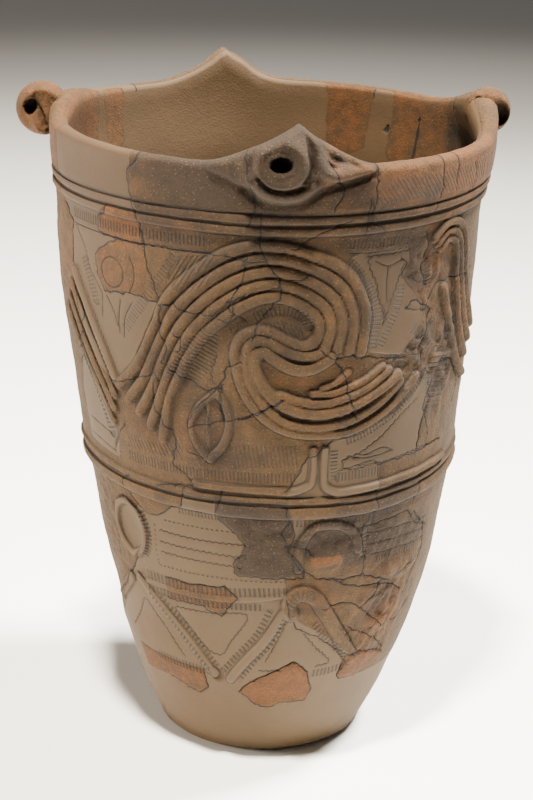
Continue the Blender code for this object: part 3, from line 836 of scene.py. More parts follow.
    def rows(self) -> list[Strokes]:
        """List the rows of short strokes."""
        fine = self.stroke_pitch
        return [
            Strokes(((-61, 399.5), (-40, 399.5), (-15, 399.5)), 3.6, fine),
            Strokes(((20, 398.8), (29, 397.8), (38, 397)), 3.4, fine),
            Strokes(((-56, 372), (-53, 358), (-51, 345)), 4.0, fine, 0.7),
            Strokes(((-63, 305), (-59, 288), (-55, 272), (-52, 258),
                (-51, 250)), 4.4, self.ladder_pitch),
            Strokes(((20, 388), (23, 381), (25, 374), (27, 366), (29, 355), (29.5, 345), (29, 335),
                (28, 325)), 3.8, fine),
            Strokes(((37, 367), (36.5, 358), (35.5, 348), (33.5, 338), (31, 326)), 3.0, fine),
            Strokes(((22, 262.5), (27, 266), (32, 271), (37, 277), (41, 284), (45, 292),
                (49, 302)), 3.8, fine),
            Strokes(((20, 236), (26, 236), (33, 236)), 3.6, fine),
            Strokes(((19, 257), (19, 245), (19.5, 233)), 2.6, fine),
            Strokes(((-44, 238), (-20, 238), (8, 238)), 3.8, fine, 0.8),
            Strokes(((-3, 351), (1, 355), (6, 356), (10, 351), (11, 345)), 3.6, fine, 0.9),
            Strokes(((-40, 331), (-34, 350), (-28, 371), (-23, 388)), 3.6, fine, 0.7),
            Strokes(((44, 384), (46, 372), (46.5, 362)), 3.2, 3.0, 0.8),
            Strokes(((42, 335), (46, 326), (50, 314)), 4.2, 3.4, 0.9),
        ]

    def combs(self) -> list[Comb]:
        """List the combed fields."""
        return [
            Comb(((-27, 306), (-18, 303), (-13, 318), (-12, 338), (-16, 343), (-22, 328)), 62, 2.8, 0.8),
            Comb(((-2, 346), (4, 350), (9, 345), (10, 337), (6, 338), (1, 344)), 20, 2.4, 0.7),
            Comb(((50, 318), (58, 315), (62, 292), (58, 270), (50, 268), (49, 292)), 80, 3.6, 0.9),
            Comb(((-31, 255), (-24, 262), (-24, 246), (-44, 244), (-44, 252)), 25, 3.0, 0.5),
            Comb(((-9, 262), (8, 262), (9, 246), (-9, 244)), 8, 2.8, 0.5),
            Comb(((24, 424), (74, 424), (74, 440), (30, 440)), 35, 2.6, 0.5),
            Comb(((-24, 388), (-12, 391), (-14, 372), (-21, 362), (-26, 372)), 150, 2.8, 0.6),
        ]

    def lines(self) -> list[Path]:
        """List the incised lines of the panels."""
        turns = np.linspace(0, 6.4, 26)
        circle = tuple((-43.5 + 4.1 * math.cos(t), 368 + 10 * math.sin(t)) for t in turns)
        return [
            circle, ((-37.5, 357), (-36, 364), (-35.6, 372), (-37, 381)),
            ((-60, 390), (-55, 377), (-53, 365), (-50, 357), (-48, 351)),
            ((-46, 350), (-44, 341), (-43, 332)), ((-41, 350), (-42, 340), (-42.5, 327)),
            ((-37, 350), (-40, 338), (-41, 325)), ((-48, 350), (-49, 335)),
            ((-61, 392), (-40, 392), (-14, 391)),
            ((-62, 310), (-58, 292), (-55, 280), (-51, 268), (-48.5, 258), (-48, 250), (-50, 243),
             (-50.5, 236)),
            ((-64, 252), (-57, 250), (-51, 248)), ((-64, 240), (-57, 238), (-50.5, 236)),
            ((28.5, 385), (32, 381), (37, 384)), ((32.3, 380), (32.2, 368), (32.6, 356)),
            ((21, 392.5), (30, 391.5), (38, 391.5)), ((25, 248.5), (30, 250.5), (35, 252.5), (38, 249)),
            ((25, 248.5), (31, 247.4), (38, 249)), ((20.5, 241), (33, 241), (33.4, 232)),
            ((-20, 231.6), (-8, 231.4), (5, 231.4)), ((-22.5, 252), (-17, 250.5), (-13.5, 256)),
        ]

    def wavy(self) -> list[Path]:
        """List the incised lines that wobble."""
        return [
            ((25.5, 389.5), (32, 389), (38.5, 389.5)),
            ((26, 389), (27, 380), (29, 370), (30, 360), (31.5, 350), (32, 341)),
            ((37.5, 380), (36, 371), (34.5, 360), (33, 350), (32, 341)),
            ((23, 250), (21.5, 247), (22, 243), (24, 240.8), (30, 241.6), (38, 242), (50, 243.6),
             (60, 243.4)),
            ((23, 250), (26, 251.5), (30, 256), (34, 262), (37, 268), (41, 275), (46, 282)),
            ((-12.8, 324), (-13.5, 318), (-14.5, 312), (-14, 303)),
            ((-17, 290), (-15.8, 275), (-16.5, 262)),
        ]


@dataclass(frozen=True)
class LowerFrieze:
    """Waist bands, dished medallions, dotted frame and zigzag arms over the plain base."""

    waist: Path = (
        (-75, 227.5), (-50, 224), (-25, 222), (0, 221.7), (15, 219.5), (30, 218.3), (50, 220),
        (75, 224),
    )
    waist_roll: Path = ((-75, 215), (-25, 213), (0, 211.5), (30, 210), (75, 214))
    ladder_rest: Path = ((-45, 139), (-30, 140), (-15, 140.5), (-2, 143), (5, 146))
    zigzag_left: Path = ((-49, 139), (-40, 121), (-32, 104), (-25, 88), (-19.5, 75))
    zigzag_middle: Path = ((-13, 72), (-7, 90), (-1, 107), (3.5, 124), (6, 134))
    zigzag_bold: Path = (
        (8, 130), (6.8, 139), (10, 147), (15, 143.5), (19, 131), (24, 115), (29, 100), (34, 86),
    )
    zigzag_far: Path = ((-54, 136), (-62, 121), (-70, 108))
    arcade: Path = ((9.5, 168), (10, 186), (13, 198), (20, 200), (26, 193), (29, 178))
    medal_rim: Path = (
        (-42.5, 179), (-44, 192), (-49.5, 199), (-55, 192), (-57, 179), (-55, 166), (-49.5, 158.5),
        (-44, 166), (-42.5, 179),
    )
    row_pitch: float = 3.9

    def dress(self, sheet: Sheet) -> None:
        """Press the waist bands, medallions and lens into the sheet."""
        sheet.band(self.waist, 2.8, 2.2)
        sheet.band(self.waist_roll, 5.2, 3.2)
        sheet.oval(-49.5, 179.0, 16.0, 19.0, -2.8)
        sheet.oval(48.0, 153.0, 29.0, 10.0, 3.8)
        sheet.oval(18.0, 172.0, 15.0, 11.0, 2.2)
        sheet.oval(-18.0, 75.0, 7.0, 7.0, -2.6)

    def ridges(self) -> list[Ridge]:
        """List the arms of the front."""
        return [
            Ridge(self.ladder_rest, None, 1, 2.6, 0.9),
            Ridge(self.zigzag_left, None, 1, 4.8, 2.2),
            Ridge(self.zigzag_middle, None, 1, 4.6, 2.2),
            Ridge(self.zigzag_bold, None, 1, 6.4, 5.0),
            Ridge(self.zigzag_far, None, 1, 5.2, 2.6),
            Ridge(self.arcade, None, 1, 4.2, 2.4),
            Ridge(self.medal_rim, None, 1, 3.6, 2.6),
        ]

    def back_ridges(self) -> list[Ridge]:
        """List the plainer arms of the hidden side."""
        return [
            Ridge(self.zigzag_left, None, 1, 4.8, 1.6, HALF_TURN),
            Ridge(self.zigzag_middle, None, 1, 4.8, 1.6, HALF_TURN),
            Ridge(self.zigzag_bold[4:], None, 1, 5.2, 2.1, HALF_TURN),
        ]

    def rows(self) -> list[Strokes]:
        """List the rows of short strokes and dots."""
        pitch = self.row_pitch
        return [
            Strokes(((-28, 206), (-20, 205.8), (-15, 205.6)), 2.8, 2.6, 0.7),
            Strokes(((8, 203.5), (30, 202.5), (60, 204.5)), 3.2, 2.8, 0.8),
            Strokes(((-34, 195), (-22, 194.6), (-10, 194.8)), 0.9, pitch),
            Strokes(((-38, 190), (-38.2, 175), (-38, 158)), 0.9, pitch),
            Strokes(((-38, 157), (-15, 157.4), (6, 157)), 0.9, pitch),
            Strokes(((-45, 145), (-20, 146), (5, 149)), 3.8, pitch),
            Strokes(((-45, 134), (-25, 134.6), (-2, 136)), 3.0, pitch),
            Strokes(((-45, 130), (-35, 108), (-27, 91), (-22, 79)), 2.9, pitch),
            Strokes(((-40, 131), (-31, 112), (-23, 94), (-17.5, 80)), 2.9, pitch),
            Strokes(((-16, 78), (-10, 95), (-4, 112), (1, 134)), 2.9, pitch),
            Strokes(((-9, 73), (-4, 90), (2, 108), (6, 128)), 2.9, pitch),
            Strokes(((16, 122), (20, 110), (26, 98), (31, 88)), 2.9, pitch),
            Strokes(((25, 119), (29, 108), (33, 99)), 2.6, pitch),
            Strokes(((-47, 76), (-35, 76), (-22, 76)), 3.8, pitch),
            Strokes(((19, 76), (25, 76.5), (31, 78)), 3.4, pitch),
            Strokes(((-43.5, 160), (-41.2, 170), (-41, 182), (-43, 196)), 2.6, 3.0),
            Strokes(((29.5, 196), (31.5, 185), (31, 172)), 2.4, 3.0, 0.7),
            Strokes(((36, 166), (45, 165.5), (56, 164)), 2.6, 3.2, 0.7),
            Strokes(((7, 139), (9.5, 146.5), (13.5, 146)), 4.6, 3.0, 0.6),
        ]

    def wavy(self) -> list[Path]:
        """List the incised lines that wobble."""
        return [
            ((-36, 185.5), (-20, 185), (-7, 185.4)), ((-36, 176.4), (-20, 176), (-7, 175.4)),
            ((-36, 168.4), (-20, 168), (-8, 167.4)),
            ((-35, 125), (-28, 108), (-20, 93), (-17, 92), (-13, 105), (-7, 128), (-20, 127),
             (-35, 125)),
            ((-62, 90), (-55, 105), (-49, 121), (-44, 110), (-38, 97), (-32, 83)), ((-2, 81), (6, 82)),
            ((0, 90), (4, 110), (7, 128)), ((13, 112), (18, 100), (25, 84), (20, 82.5)),
            ((32, 189), (45, 187), (60, 183)), ((33, 180), (46, 178), (60, 174)),
            ((34, 171), (46, 169.5), (60, 166)),
        ]


@dataclass(frozen=True)
class Repairs:
    """Sherds, fills and the cracks between them, with each sherd's own colour."""

    wobble: float = 0.55

    def fills(self) -> list[Patch]:
        """List the smooth fills of the restorer."""
        return [
            Patch(((-90, 470), (-37, 470), (-36.5, 440), (-37, 433), (-36, 420), (-34, 413.5),
                   (-45, 413.5), (-49, 404), (-49, 392), (-42, 391), (-49, 381), (-50.8, 376),
                   (-49.5, 362), (-46.5, 353), (-38, 356.5), (-29, 354.5), (-33, 335), (-38, 312),
                   (-43, 296), (-47, 290), (-52, 300), (-57, 320), (-61, 345), (-63, 365), (-62, 392),
                   (-66, 402), (-90, 408)), -0.25, fill=True),
            Patch(((-62, 312), (-56, 290), (-51, 270), (-47.5, 254), (-49, 232), (-66, 234),
                   (-68, 270)), -0.2, fill=True),
            Patch(((24.5, 392), (38.5, 391), (39.5, 380), (37.5, 372), (38.5, 367), (45, 352), (46, 340),
                   (43.5, 330), (38, 318), (31, 322), (27.5, 324), (29, 345), (28, 362), (25, 378),
                   (21, 389)), -0.25, fill=True),
            Patch(((5, 223), (7, 233), (11, 252), (18, 262), (27, 265), (38, 276), (46, 289), (50, 303),
                   (53, 290), (50, 270), (48, 244), (34, 241), (33.5, 222)), -0.2, fill=True),
            Patch(((-45, 200), (-40, 195), (-35, 198), (-30, 207), (-26, 210), (-25, 220), (-13, 220),
                   (-15.5, 210), (-15, 204), (-11, 197), (-7.5, 186), (-7, 176), (-10, 174), (-11, 162),
                   (5, 159.5), (6, 152), (5, 133), (7, 128), (14, 118), (24, 104), (31, 92), (31, 80),
                   (33, 66), (60, 62), (90, 60), (90, -5), (-90, -5), (-90, 60), (-70, 100), (-58, 128),
                   (-50, 150), (-44, 165), (-43, 190)), -0.25, fill=True),
            Patch(((7.5, 207), (10.5, 207), (10.5, 190), (7.5, 190)), -0.3, fill=True),
            Patch(((30, 192), (31.6, 192), (31.8, 170), (30, 170)), -0.3, fill=True),
            Patch(((90, 60), (90, -5), (-270, -5), (-270, 60)), 0.0, fill=True),
            Patch(((-57.5, 179), (-55.5, 164), (-49.5, 156), (-44, 164), (-41.8, 179), (-43.5, 194),
                   (-49.5, 202), (-55.5, 194)), 0.0, fill=True),
            Patch(((-135, 470), (-112, 470), (-116, 392), (-131, 384)), -0.25, fill=True),
            Patch(((-236, 232), (-205, 240), (-198, 300), (-214, 342), (-240, 300)), -0.25, fill=True),
            Patch(((-160, 205), (-118, 210), (-122, 120), (-150, 96)), -0.25, fill=True),
        ]

    def sherds(self) -> list[Patch]:
        """List the sherds whose colour differs from their neighbours'."""
        return [
            Patch(((-45, 413), (-45.5, 407), (-49, 404), (-49, 392), (-33, 391.5), (-34, 407),
                   (-35, 413)), 0.2, 0.75, 0.1),
            Patch(((-42, 391), (-49, 381), (-50.8, 376), (-49.5, 362), (-46.5, 353), (-38, 356.5),
                   (-29, 354.5), (-31, 374), (-33, 391)), 0.2, 0.42, 0.1),
            Patch(((-36, 148), (-26, 148), (-14, 150.5), (-10, 142), (-16, 126), (-24, 132),
                   (-36, 130)), 0.3, 0.4, 0.2),
            Patch(((-10, 174), (-11, 168), (-10, 161), (5, 159.5), (12, 160), (10.5, 170), (5, 186),
                   (-7, 178)), 0.4, 0.1, 1.05),
            Patch(((-10, 60), (-5, 71), (6, 83), (11, 89), (17, 78), (20.5, 60), (18, 51), (8, 50),
                   (2, 46), (-3, 49), (-7, 56)), 0.7, 0.95, 0.05),
            Patch(((-60, 76), (-24, 76), (-23, 60), (-28, 52), (-33, 55), (-42, 60),
                   (-60, 56)), 0.3, 0.55, 0.0),
            Patch(((33, 90), (48, 83), (55, 76), (45, 66), (40, 64.5), (33, 66), (30.5, 69),
                   (31, 80)), 1.1, 0.8, 0.15),
            Patch(((-104, 480), (-71, 480), (-70, 440), (-69, 418), (-67, 398),
                   (-104, 396)), 0.1, 0.45, 0.0),
            Patch(((-44.5, 223), (-48, 216), (-48, 208), (-44, 201), (-40, 195), (-35, 198), (-30, 207),
                   (-26, 210), (-25, 224)), 0.2, 0.2, 0.2),
            Patch(((-15.5, 222), (-15.5, 210), (-15, 204), (-11, 197), (-7.5, 186), (-9, 175), (5, 180),
                   (7, 205), (6, 221)), 0.3, 0.15, 1.1),
            Patch(((13, 177), (23, 177), (24, 169), (13, 167)), 0.3, 0.8, 0.0),
        ]

    def tints(self) -> list[Tint]:
        """List soft changes of colour and wear from firing, use and burial, and painted shade: the front
        lug's cast shadow on the sweep and a darker upper body.
        """
        return [
            Tint(30, 436, 55, 20, 0.55, 0.05), Tint(64, 434, 45, 26, 0.85, 0.0),
            Tint(-26, 414, 16, 14, 0.6), Tint(-22, 442, 26, 9, -0.1, 0.75),
            Tint(-4, 446, 26, 10, -0.1, 0.5), Tint(2, 430, 22, 14, -0.1, 0.3),
            # Painted shadow: Tint(-8, 390) darkens the sweep's top where the front lug's shadow falls.
            Tint(-8, 390, 30, 16, 0.0, 0.35), Tint(-20, 300, 34, 60, 0.1, 0.3),
            Tint(-24, 262, 40, 20, 0.3, 0.2), Tint(8, 345, 34, 24, 0.1, 0.25),
            Tint(2, 462, 30, 20, -0.1, 0.3), Tint(14, 300, 34, 18, 0.35, 0.15),
            Tint(46, 372, 22, 22, 0.6, 0.05, 0.9), Tint(44, 322, 18, 22, 0.3, 0.15, 0.9),
            Tint(56, 296, 20, 36, 0.25, 0.45, 1.0), Tint(62, 345, 20, 40, 0.5, 0.2),
            Tint(-72, 350, 26, 60, 0.1, 0.0, 0.4), Tint(-30, 330, 14, 30, 0.15, 0.1),
            Tint(45, 212, 60, 10, 0.2, 0.3), Tint(20, 186, 34, 16, 0.1, 0.6, 0.7),
            Tint(48, 178, 40, 20, 0.15, 0.5, 0.3), Tint(45, 118, 34, 32, 0.5, 0.2, 0.6),
            Tint(16, 138, 22, 16, 0.35, 0.25), Tint(-62, 170, 24, 40, 0.1, -0.3, 0.6),
            Tint(-12, 246, 40, 12, 0.1, 0.35), Tint(30, 404, 40, 14, 0.1, 0.35),
            Tint(-60, 90, 30, 40, 0.25, -0.1), Tint(120, 420, 60, 60, 0.5, 0.1),
            Tint(180, 330, 80, 90, 0.2, 0.35), Tint(-120, 260, 60, 80, 0.4, 0.0),
            Tint(150, 150, 70, 50, 0.3, 0.3), Tint(-150, 120, 60, 60, 0.1, 0.3),
            Tint(-62, 425, 60, 30, 0.4, 0.3), Tint(-62, 360, 40, 30, 0.4, 0.1),
            Tint(30, 350, 30, 40, 0.3), Tint(0, 425, 100, 22, 0.0, 0.2), Tint(30, 245, 40, 30, 0.15),
            # Painted shade: Tint(20, 350, 500, 110) darkens the whole upper body, which takes less
            # bounce light from the floor than the foot.
            Tint(20, 350, 500, 110, 0.0, 0.3), Tint(30, 195, 60, 22, 0.0, 0.45),
            Tint(-19, 215, 20, 12, 0.0, 0.5), Tint(-50, 179, 14, 18, 0.0, -0.4),
            Tint(0, 150, 400, 60, 0.0, 0.15), Tint(42, 130, 26, 40, 0.15, 0.25, 0.55),
            Tint(24, 178, 30, 22, 0.0, 0.2), Tint(-20, 420, 60, 22, 0.15, 0.1),
            Tint(34, 245, 30, 34, 0.0, 0.35), Tint(-3, 190, 24, 26, 0.0, 0.3, 0.5),
            Tint(-15, 430, 190, 38, 0.2, 0.16), Tint(-40, 30, 60, 40, 0.3, -0.1),
            Tint(4, 455, 34, 26, 0.0, 0.5), Tint(-14, 440, 30, 16, 0.0, 0.5),
            Tint(34, 360, 30, 50, 0.0, 0.45), Tint(50, 250, 60, 30, 0.0, 0.25),
            Tint(-78, 330, 30, 90, 0.1, -0.3),
        ]

    def cracks(self) -> list[Path]:
        """List the joins that show between sherds."""
        return [
            ((-32, 450), (-36.5, 440), (-37, 433), (-36, 420), (-34, 407), (-33, 392), (-31, 374),
             (-28.5, 357)),
            ((-45, 413), (-45.5, 407), (-49, 404), (-49, 393), (-40, 391.5), (-33, 391.5)),
            ((-42, 391), (-49, 381), (-50.8, 376), (-49.5, 362), (-46.5, 353), (-38, 356.5), (-34, 357),
             (-29, 354.5)),
            ((-28, 355), (-24, 355), (-20, 352), (-14, 351), (-12, 354), (-9, 361), (-5, 367)),
            ((-27, 354), (-28, 337), (-26, 326), (-28, 314), (-24, 308), (-20, 304), (-16, 297),
             (-12, 303), (-10, 317), (-6, 320)),
            ((-33, 392.5), (-24, 392), (-16, 392), (-10, 392), (-5, 389), (-1, 389)),
            ((-5, 389.5), (-6, 374), (-8.5, 363), (-9, 358), (-8.5, 354), (-5, 349)),
            ((-2, 422), (-2, 403), (0, 390), (3, 379), (4, 368), (1, 357), (-2, 348), (-3, 337)),
            ((11, 381), (9, 377), (6, 376)), ((3, 372), (-2, 368), (-6, 363)),
            ((20, 415), (12, 407), (9, 401), (6, 397)), ((24, 427), (24, 414), (24, 405)),
            ((-4, 429), (-4, 422), (-5, 411)), ((-12, 351), (-10, 347), (-8, 352), (-8, 357)),
            ((-24, 336), (-22, 335), (-22, 328), (-24, 322)), ((-44, 261), (-47, 252), (-50, 240)),
            ((-47, 290), (-38, 297), (-30, 307), (-30, 300)), ((-12, 303), (-12, 289), (-12, 278)),
            ((25, 449), (25.5, 428), (25, 412), (28, 409), (30, 404)),
            ((45, 449), (46, 428), (45, 414)), ((51, 444), (51.5, 432), (52, 425)),
            ((14, 328), (18, 322), (22, 323), (28, 320), (38, 315)),
            ((18, 322), (20, 314), (22, 295), (23, 288), (24, 278)), ((4, 295), (-2, 286), (-8, 279)),
            ((39, 349), (46, 345), (50, 361), (57, 362), (72, 360)), ((46, 317), (46, 305), (43, 302)),
            ((36, 316), (45, 315), (47, 329), (48, 346), (42, 354), (39, 349)),
            ((54, 305), (62, 302), (70, 279), (68, 265)), ((53, 252), (49, 275), (52, 288), (54, 305)),
            ((-31, 300), (-32, 286), (-30, 273), (-26, 261), (-26, 255), (-28, 241), (-24, 234),
             (-20.5, 228), (-34, 222.5)),
            ((-44.5, 223), (-48, 216), (-48, 208), (-44, 201), (-40, 195), (-35, 198), (-30, 207),
             (-26, 210), (-25, 224)),
            ((-13, 226), (-15.5, 210), (-15, 204), (-11, 197), (-7.5, 186)),
            ((-22.5, 272), (-19.5, 284), (-15, 296), (-12, 301)),
            ((-22, 270), (-12, 278), (-5, 281), (4, 295)), ((-12, 278), (-12.3, 290), (-12, 300)),
            ((5, 228), (7, 233), (11, 252), (18, 262)),
            ((-7, 449), (-5.5, 440), (-4.5, 428), (-3.5, 421)),
            ((-7, 178), (-10, 174), (-11, 168), (-10, 161), (5, 159.5), (12, 160), (10.5, 170),
             (5, 186)),
            ((-36, 148), (-26, 148), (-14, 150.5), (-10, 142), (-16, 126), (-24, 132), (-36, 130)),
            ((-10, 60), (-5, 71), (6, 83), (11, 89), (17, 78), (20.5, 60), (18, 51), (8, 50), (2, 46),
             (-3, 49), (-7, 56), (-10, 60)),
            ((-24, 76), (-23, 60), (-28, 52), (-33, 55), (-42, 60)),
            ((33, 90), (48, 83), (55, 76), (45, 66), (40, 64.5), (33, 66), (30.5, 69), (31, 80)),
            ((5, 217), (6, 207), (8, 194), (6, 181), (10, 167), (16, 158), (26, 155), (32, 156)),
            ((30, 197), (30, 184), (32, 168), (32, 156), (44, 145), (52, 153), (62, 158)),
            ((51, 194), (60, 177), (62, 158), (57, 139), (54, 124)),
            ((6, 144), (7, 130), (10, 118), (17, 110), (27, 95), (34, 88)),
            ((40, 148), (38, 136), (33, 128), (46, 105), (57, 104), (62, 117)),
            ((18, 135), (28, 135), (33, 128)), ((30, 112), (44, 96), (53, 81)),
            ((31, 195), (48, 197), (53, 183), (62, 176)),
            ((36, 386), (38.5, 380), (37, 372), (41, 369), (46, 362)),
            ((44, 400), (46, 388), (43, 378), (45, 366)),
            ((33.5, 240), (40, 241), (48, 241.6), (60, 243.4)),
            ((48, 242), (49, 262), (52, 280), (50, 300)), ((33, 196), (33.5, 208), (33, 222)),
            ((50, 206), (50.5, 216), (50, 224)), ((6, 205), (4, 196), (6, 186), (12, 182), (14, 176)),
            ((20, 158), (26, 150), (33, 146), (44, 143)), ((44, 143), (52, 132), (50, 118), (40, 108)),
            ((-66, 402), (-62, 392), (-63, 365), (-60, 345)),
            ((-60, 345), (-57, 330), (-60, 310), (-66, 290)),
            ((-70, 108), (-58, 128), (-50, 150), (-45, 165)), ((-36, 420), (-28, 420), (-20, 419)),
            ((15, 420), (17, 432), (13, 441)), ((60, 440), (62, 428), (60, 418)),
            ((-112, 452), (-116, 392), (-131, 384), (-135, 450)),
            ((-131, 384), (-150, 372), (-172, 380)),
            ((-236, 232), (-205, 240), (-198, 300), (-214, 342), (-240, 300), (-236, 232)),
            ((-198, 300), (-180, 310), (-168, 290), (-172, 262)),
            ((-160, 205), (-150, 222), (-156, 250)),
            ((-160, 205), (-150, 96), (-122, 120), (-118, 210)),
            ((-240, 60), (-232, 88), (-214, 96), (-204, 60)),
        ]

    def crack_line(self, path: Path, seed: int) -> np.ndarray:
        """Break a crack's path up into small uneven steps.

        Args:
            path: Places that the crack passes.
            seed: Number that picks its unevenness.

        Returns:
            Points on the sheet.
        """
        line = straight(path)
        knots = np.concatenate([[0.0], np.cumsum(np.hypot(*np.diff(line, axis=0).T))])
        t = np.linspace(0, knots[-1], max(int(knots[-1] / 2.6), 3))
        fine = np.stack([np.interp(t, knots, line[:, 0]), np.interp(t, knots, line[:, 1])], 1)
        return fine + np.random.default_rng(seed).normal(0, self.wobble, fine.shape)

    def dress(self, sheet: Sheet) -> None:
        """Colour the wall, then cut its cracks."""
        for tint in self.tints():
            sheet.tint(tint)
        for patch in self.fills() + self.sherds():
            sheet.patch(patch)
        for number, path in enumerate(self.cracks()):
            sheet.mark(Mark.CRACK, self.crack_line(path, number), 0.95, 0.7)


@dataclass(frozen=True)
class Inside:
    """Look of the inner wall: sherds and fills from the lip down."""

    def dress(self, sheet: Sheet) -> None:
        """Set sherds, cracks and painted light and shade on the inner wall."""
        sheet.fill[:] = 6.0
        sheet.warm[:] = 0.2
        # Painted shade: the inner wall darkens with depth below the lip and on the left side.
        sheet.dark[:] = 0.1 + 0.5 * np.clip((410.0 - sheet.level) / 60.0, 0, 1)
        sheet.dark += 0.3 * np.exp(-(turn_to(sheet.angle, -85.0) / 30.0) ** 2)
        sheet.calm[:] = 0.75
        sherds = (
            # Painted light: the left sherd's negative dark lightens it where a beam lights the inner
            # wall.
            Patch(((-115, 480), (-62, 480), (-60, 420), (-75, 388), (-118, 396)), 0.0, 0.7, -0.4),
            Patch(((-212, 480), (-196, 480), (-196, 420), (-199, 402), (-211, 396)), 0.0, 0.65, 0.15),
            Patch(((-232, 480), (-218.5, 480), (-218, 400), (-228, 372)), 0.0, 0.6, 0.2),
            Patch(((-248, 480), (-232, 480), (-228, 380), (-250, 388)), 0.0, 0.45, 0.3),
            Patch(((-270, 440), (-244, 440), (-248, 388), (-270, 380)), 0.0, 0.3, 0.85),
            Patch(((90, 440), (62, 440), (58, 396), (90, 380)), 0.0, 0.3, 0.85),
            Patch(((-128, 480), (-119, 480), (-121, 398), (-130, 412)), 0.0, 0.6, 0.2),
        )
        for patch in sherds:
            sheet.patch(patch)
            outline = patch.outline + patch.outline[:1]
            line = Repairs().crack_line(outline, len(patch.outline))
            sheet.mark(Mark.CRACK, line, 0.9, 0.5)


def wobbled(path: Path, swing: float = 0.7, wave: float = 5.2) -> np.ndarray:
    """Draw an incised line that wobbles from side to side.

    Args:
        path: Places that its middle passes.
        swing: How far it strays.
        wave: Length of one wobble.

    Returns:
        Points on the sheet.
    """
    line = spline(path, 0.9)
    if len(line) == 2:
        t = np.linspace(0, 1, 24)[:, None]
        line = line[0] * (1 - t) + line[1] * t
    step = np.gradient(line, axis=0)
    step /= np.maximum(np.hypot(*step.T), 1e-9)[:, None]
    along = np.concatenate([[0.0], np.cumsum(np.hypot(*np.diff(line, axis=0).T))])
    aside = np.stack([-step[:, 1], step[:, 0]], 1)
    return line + aside * (swing * np.sin(along * 2 * math.pi / wave))[:, None]


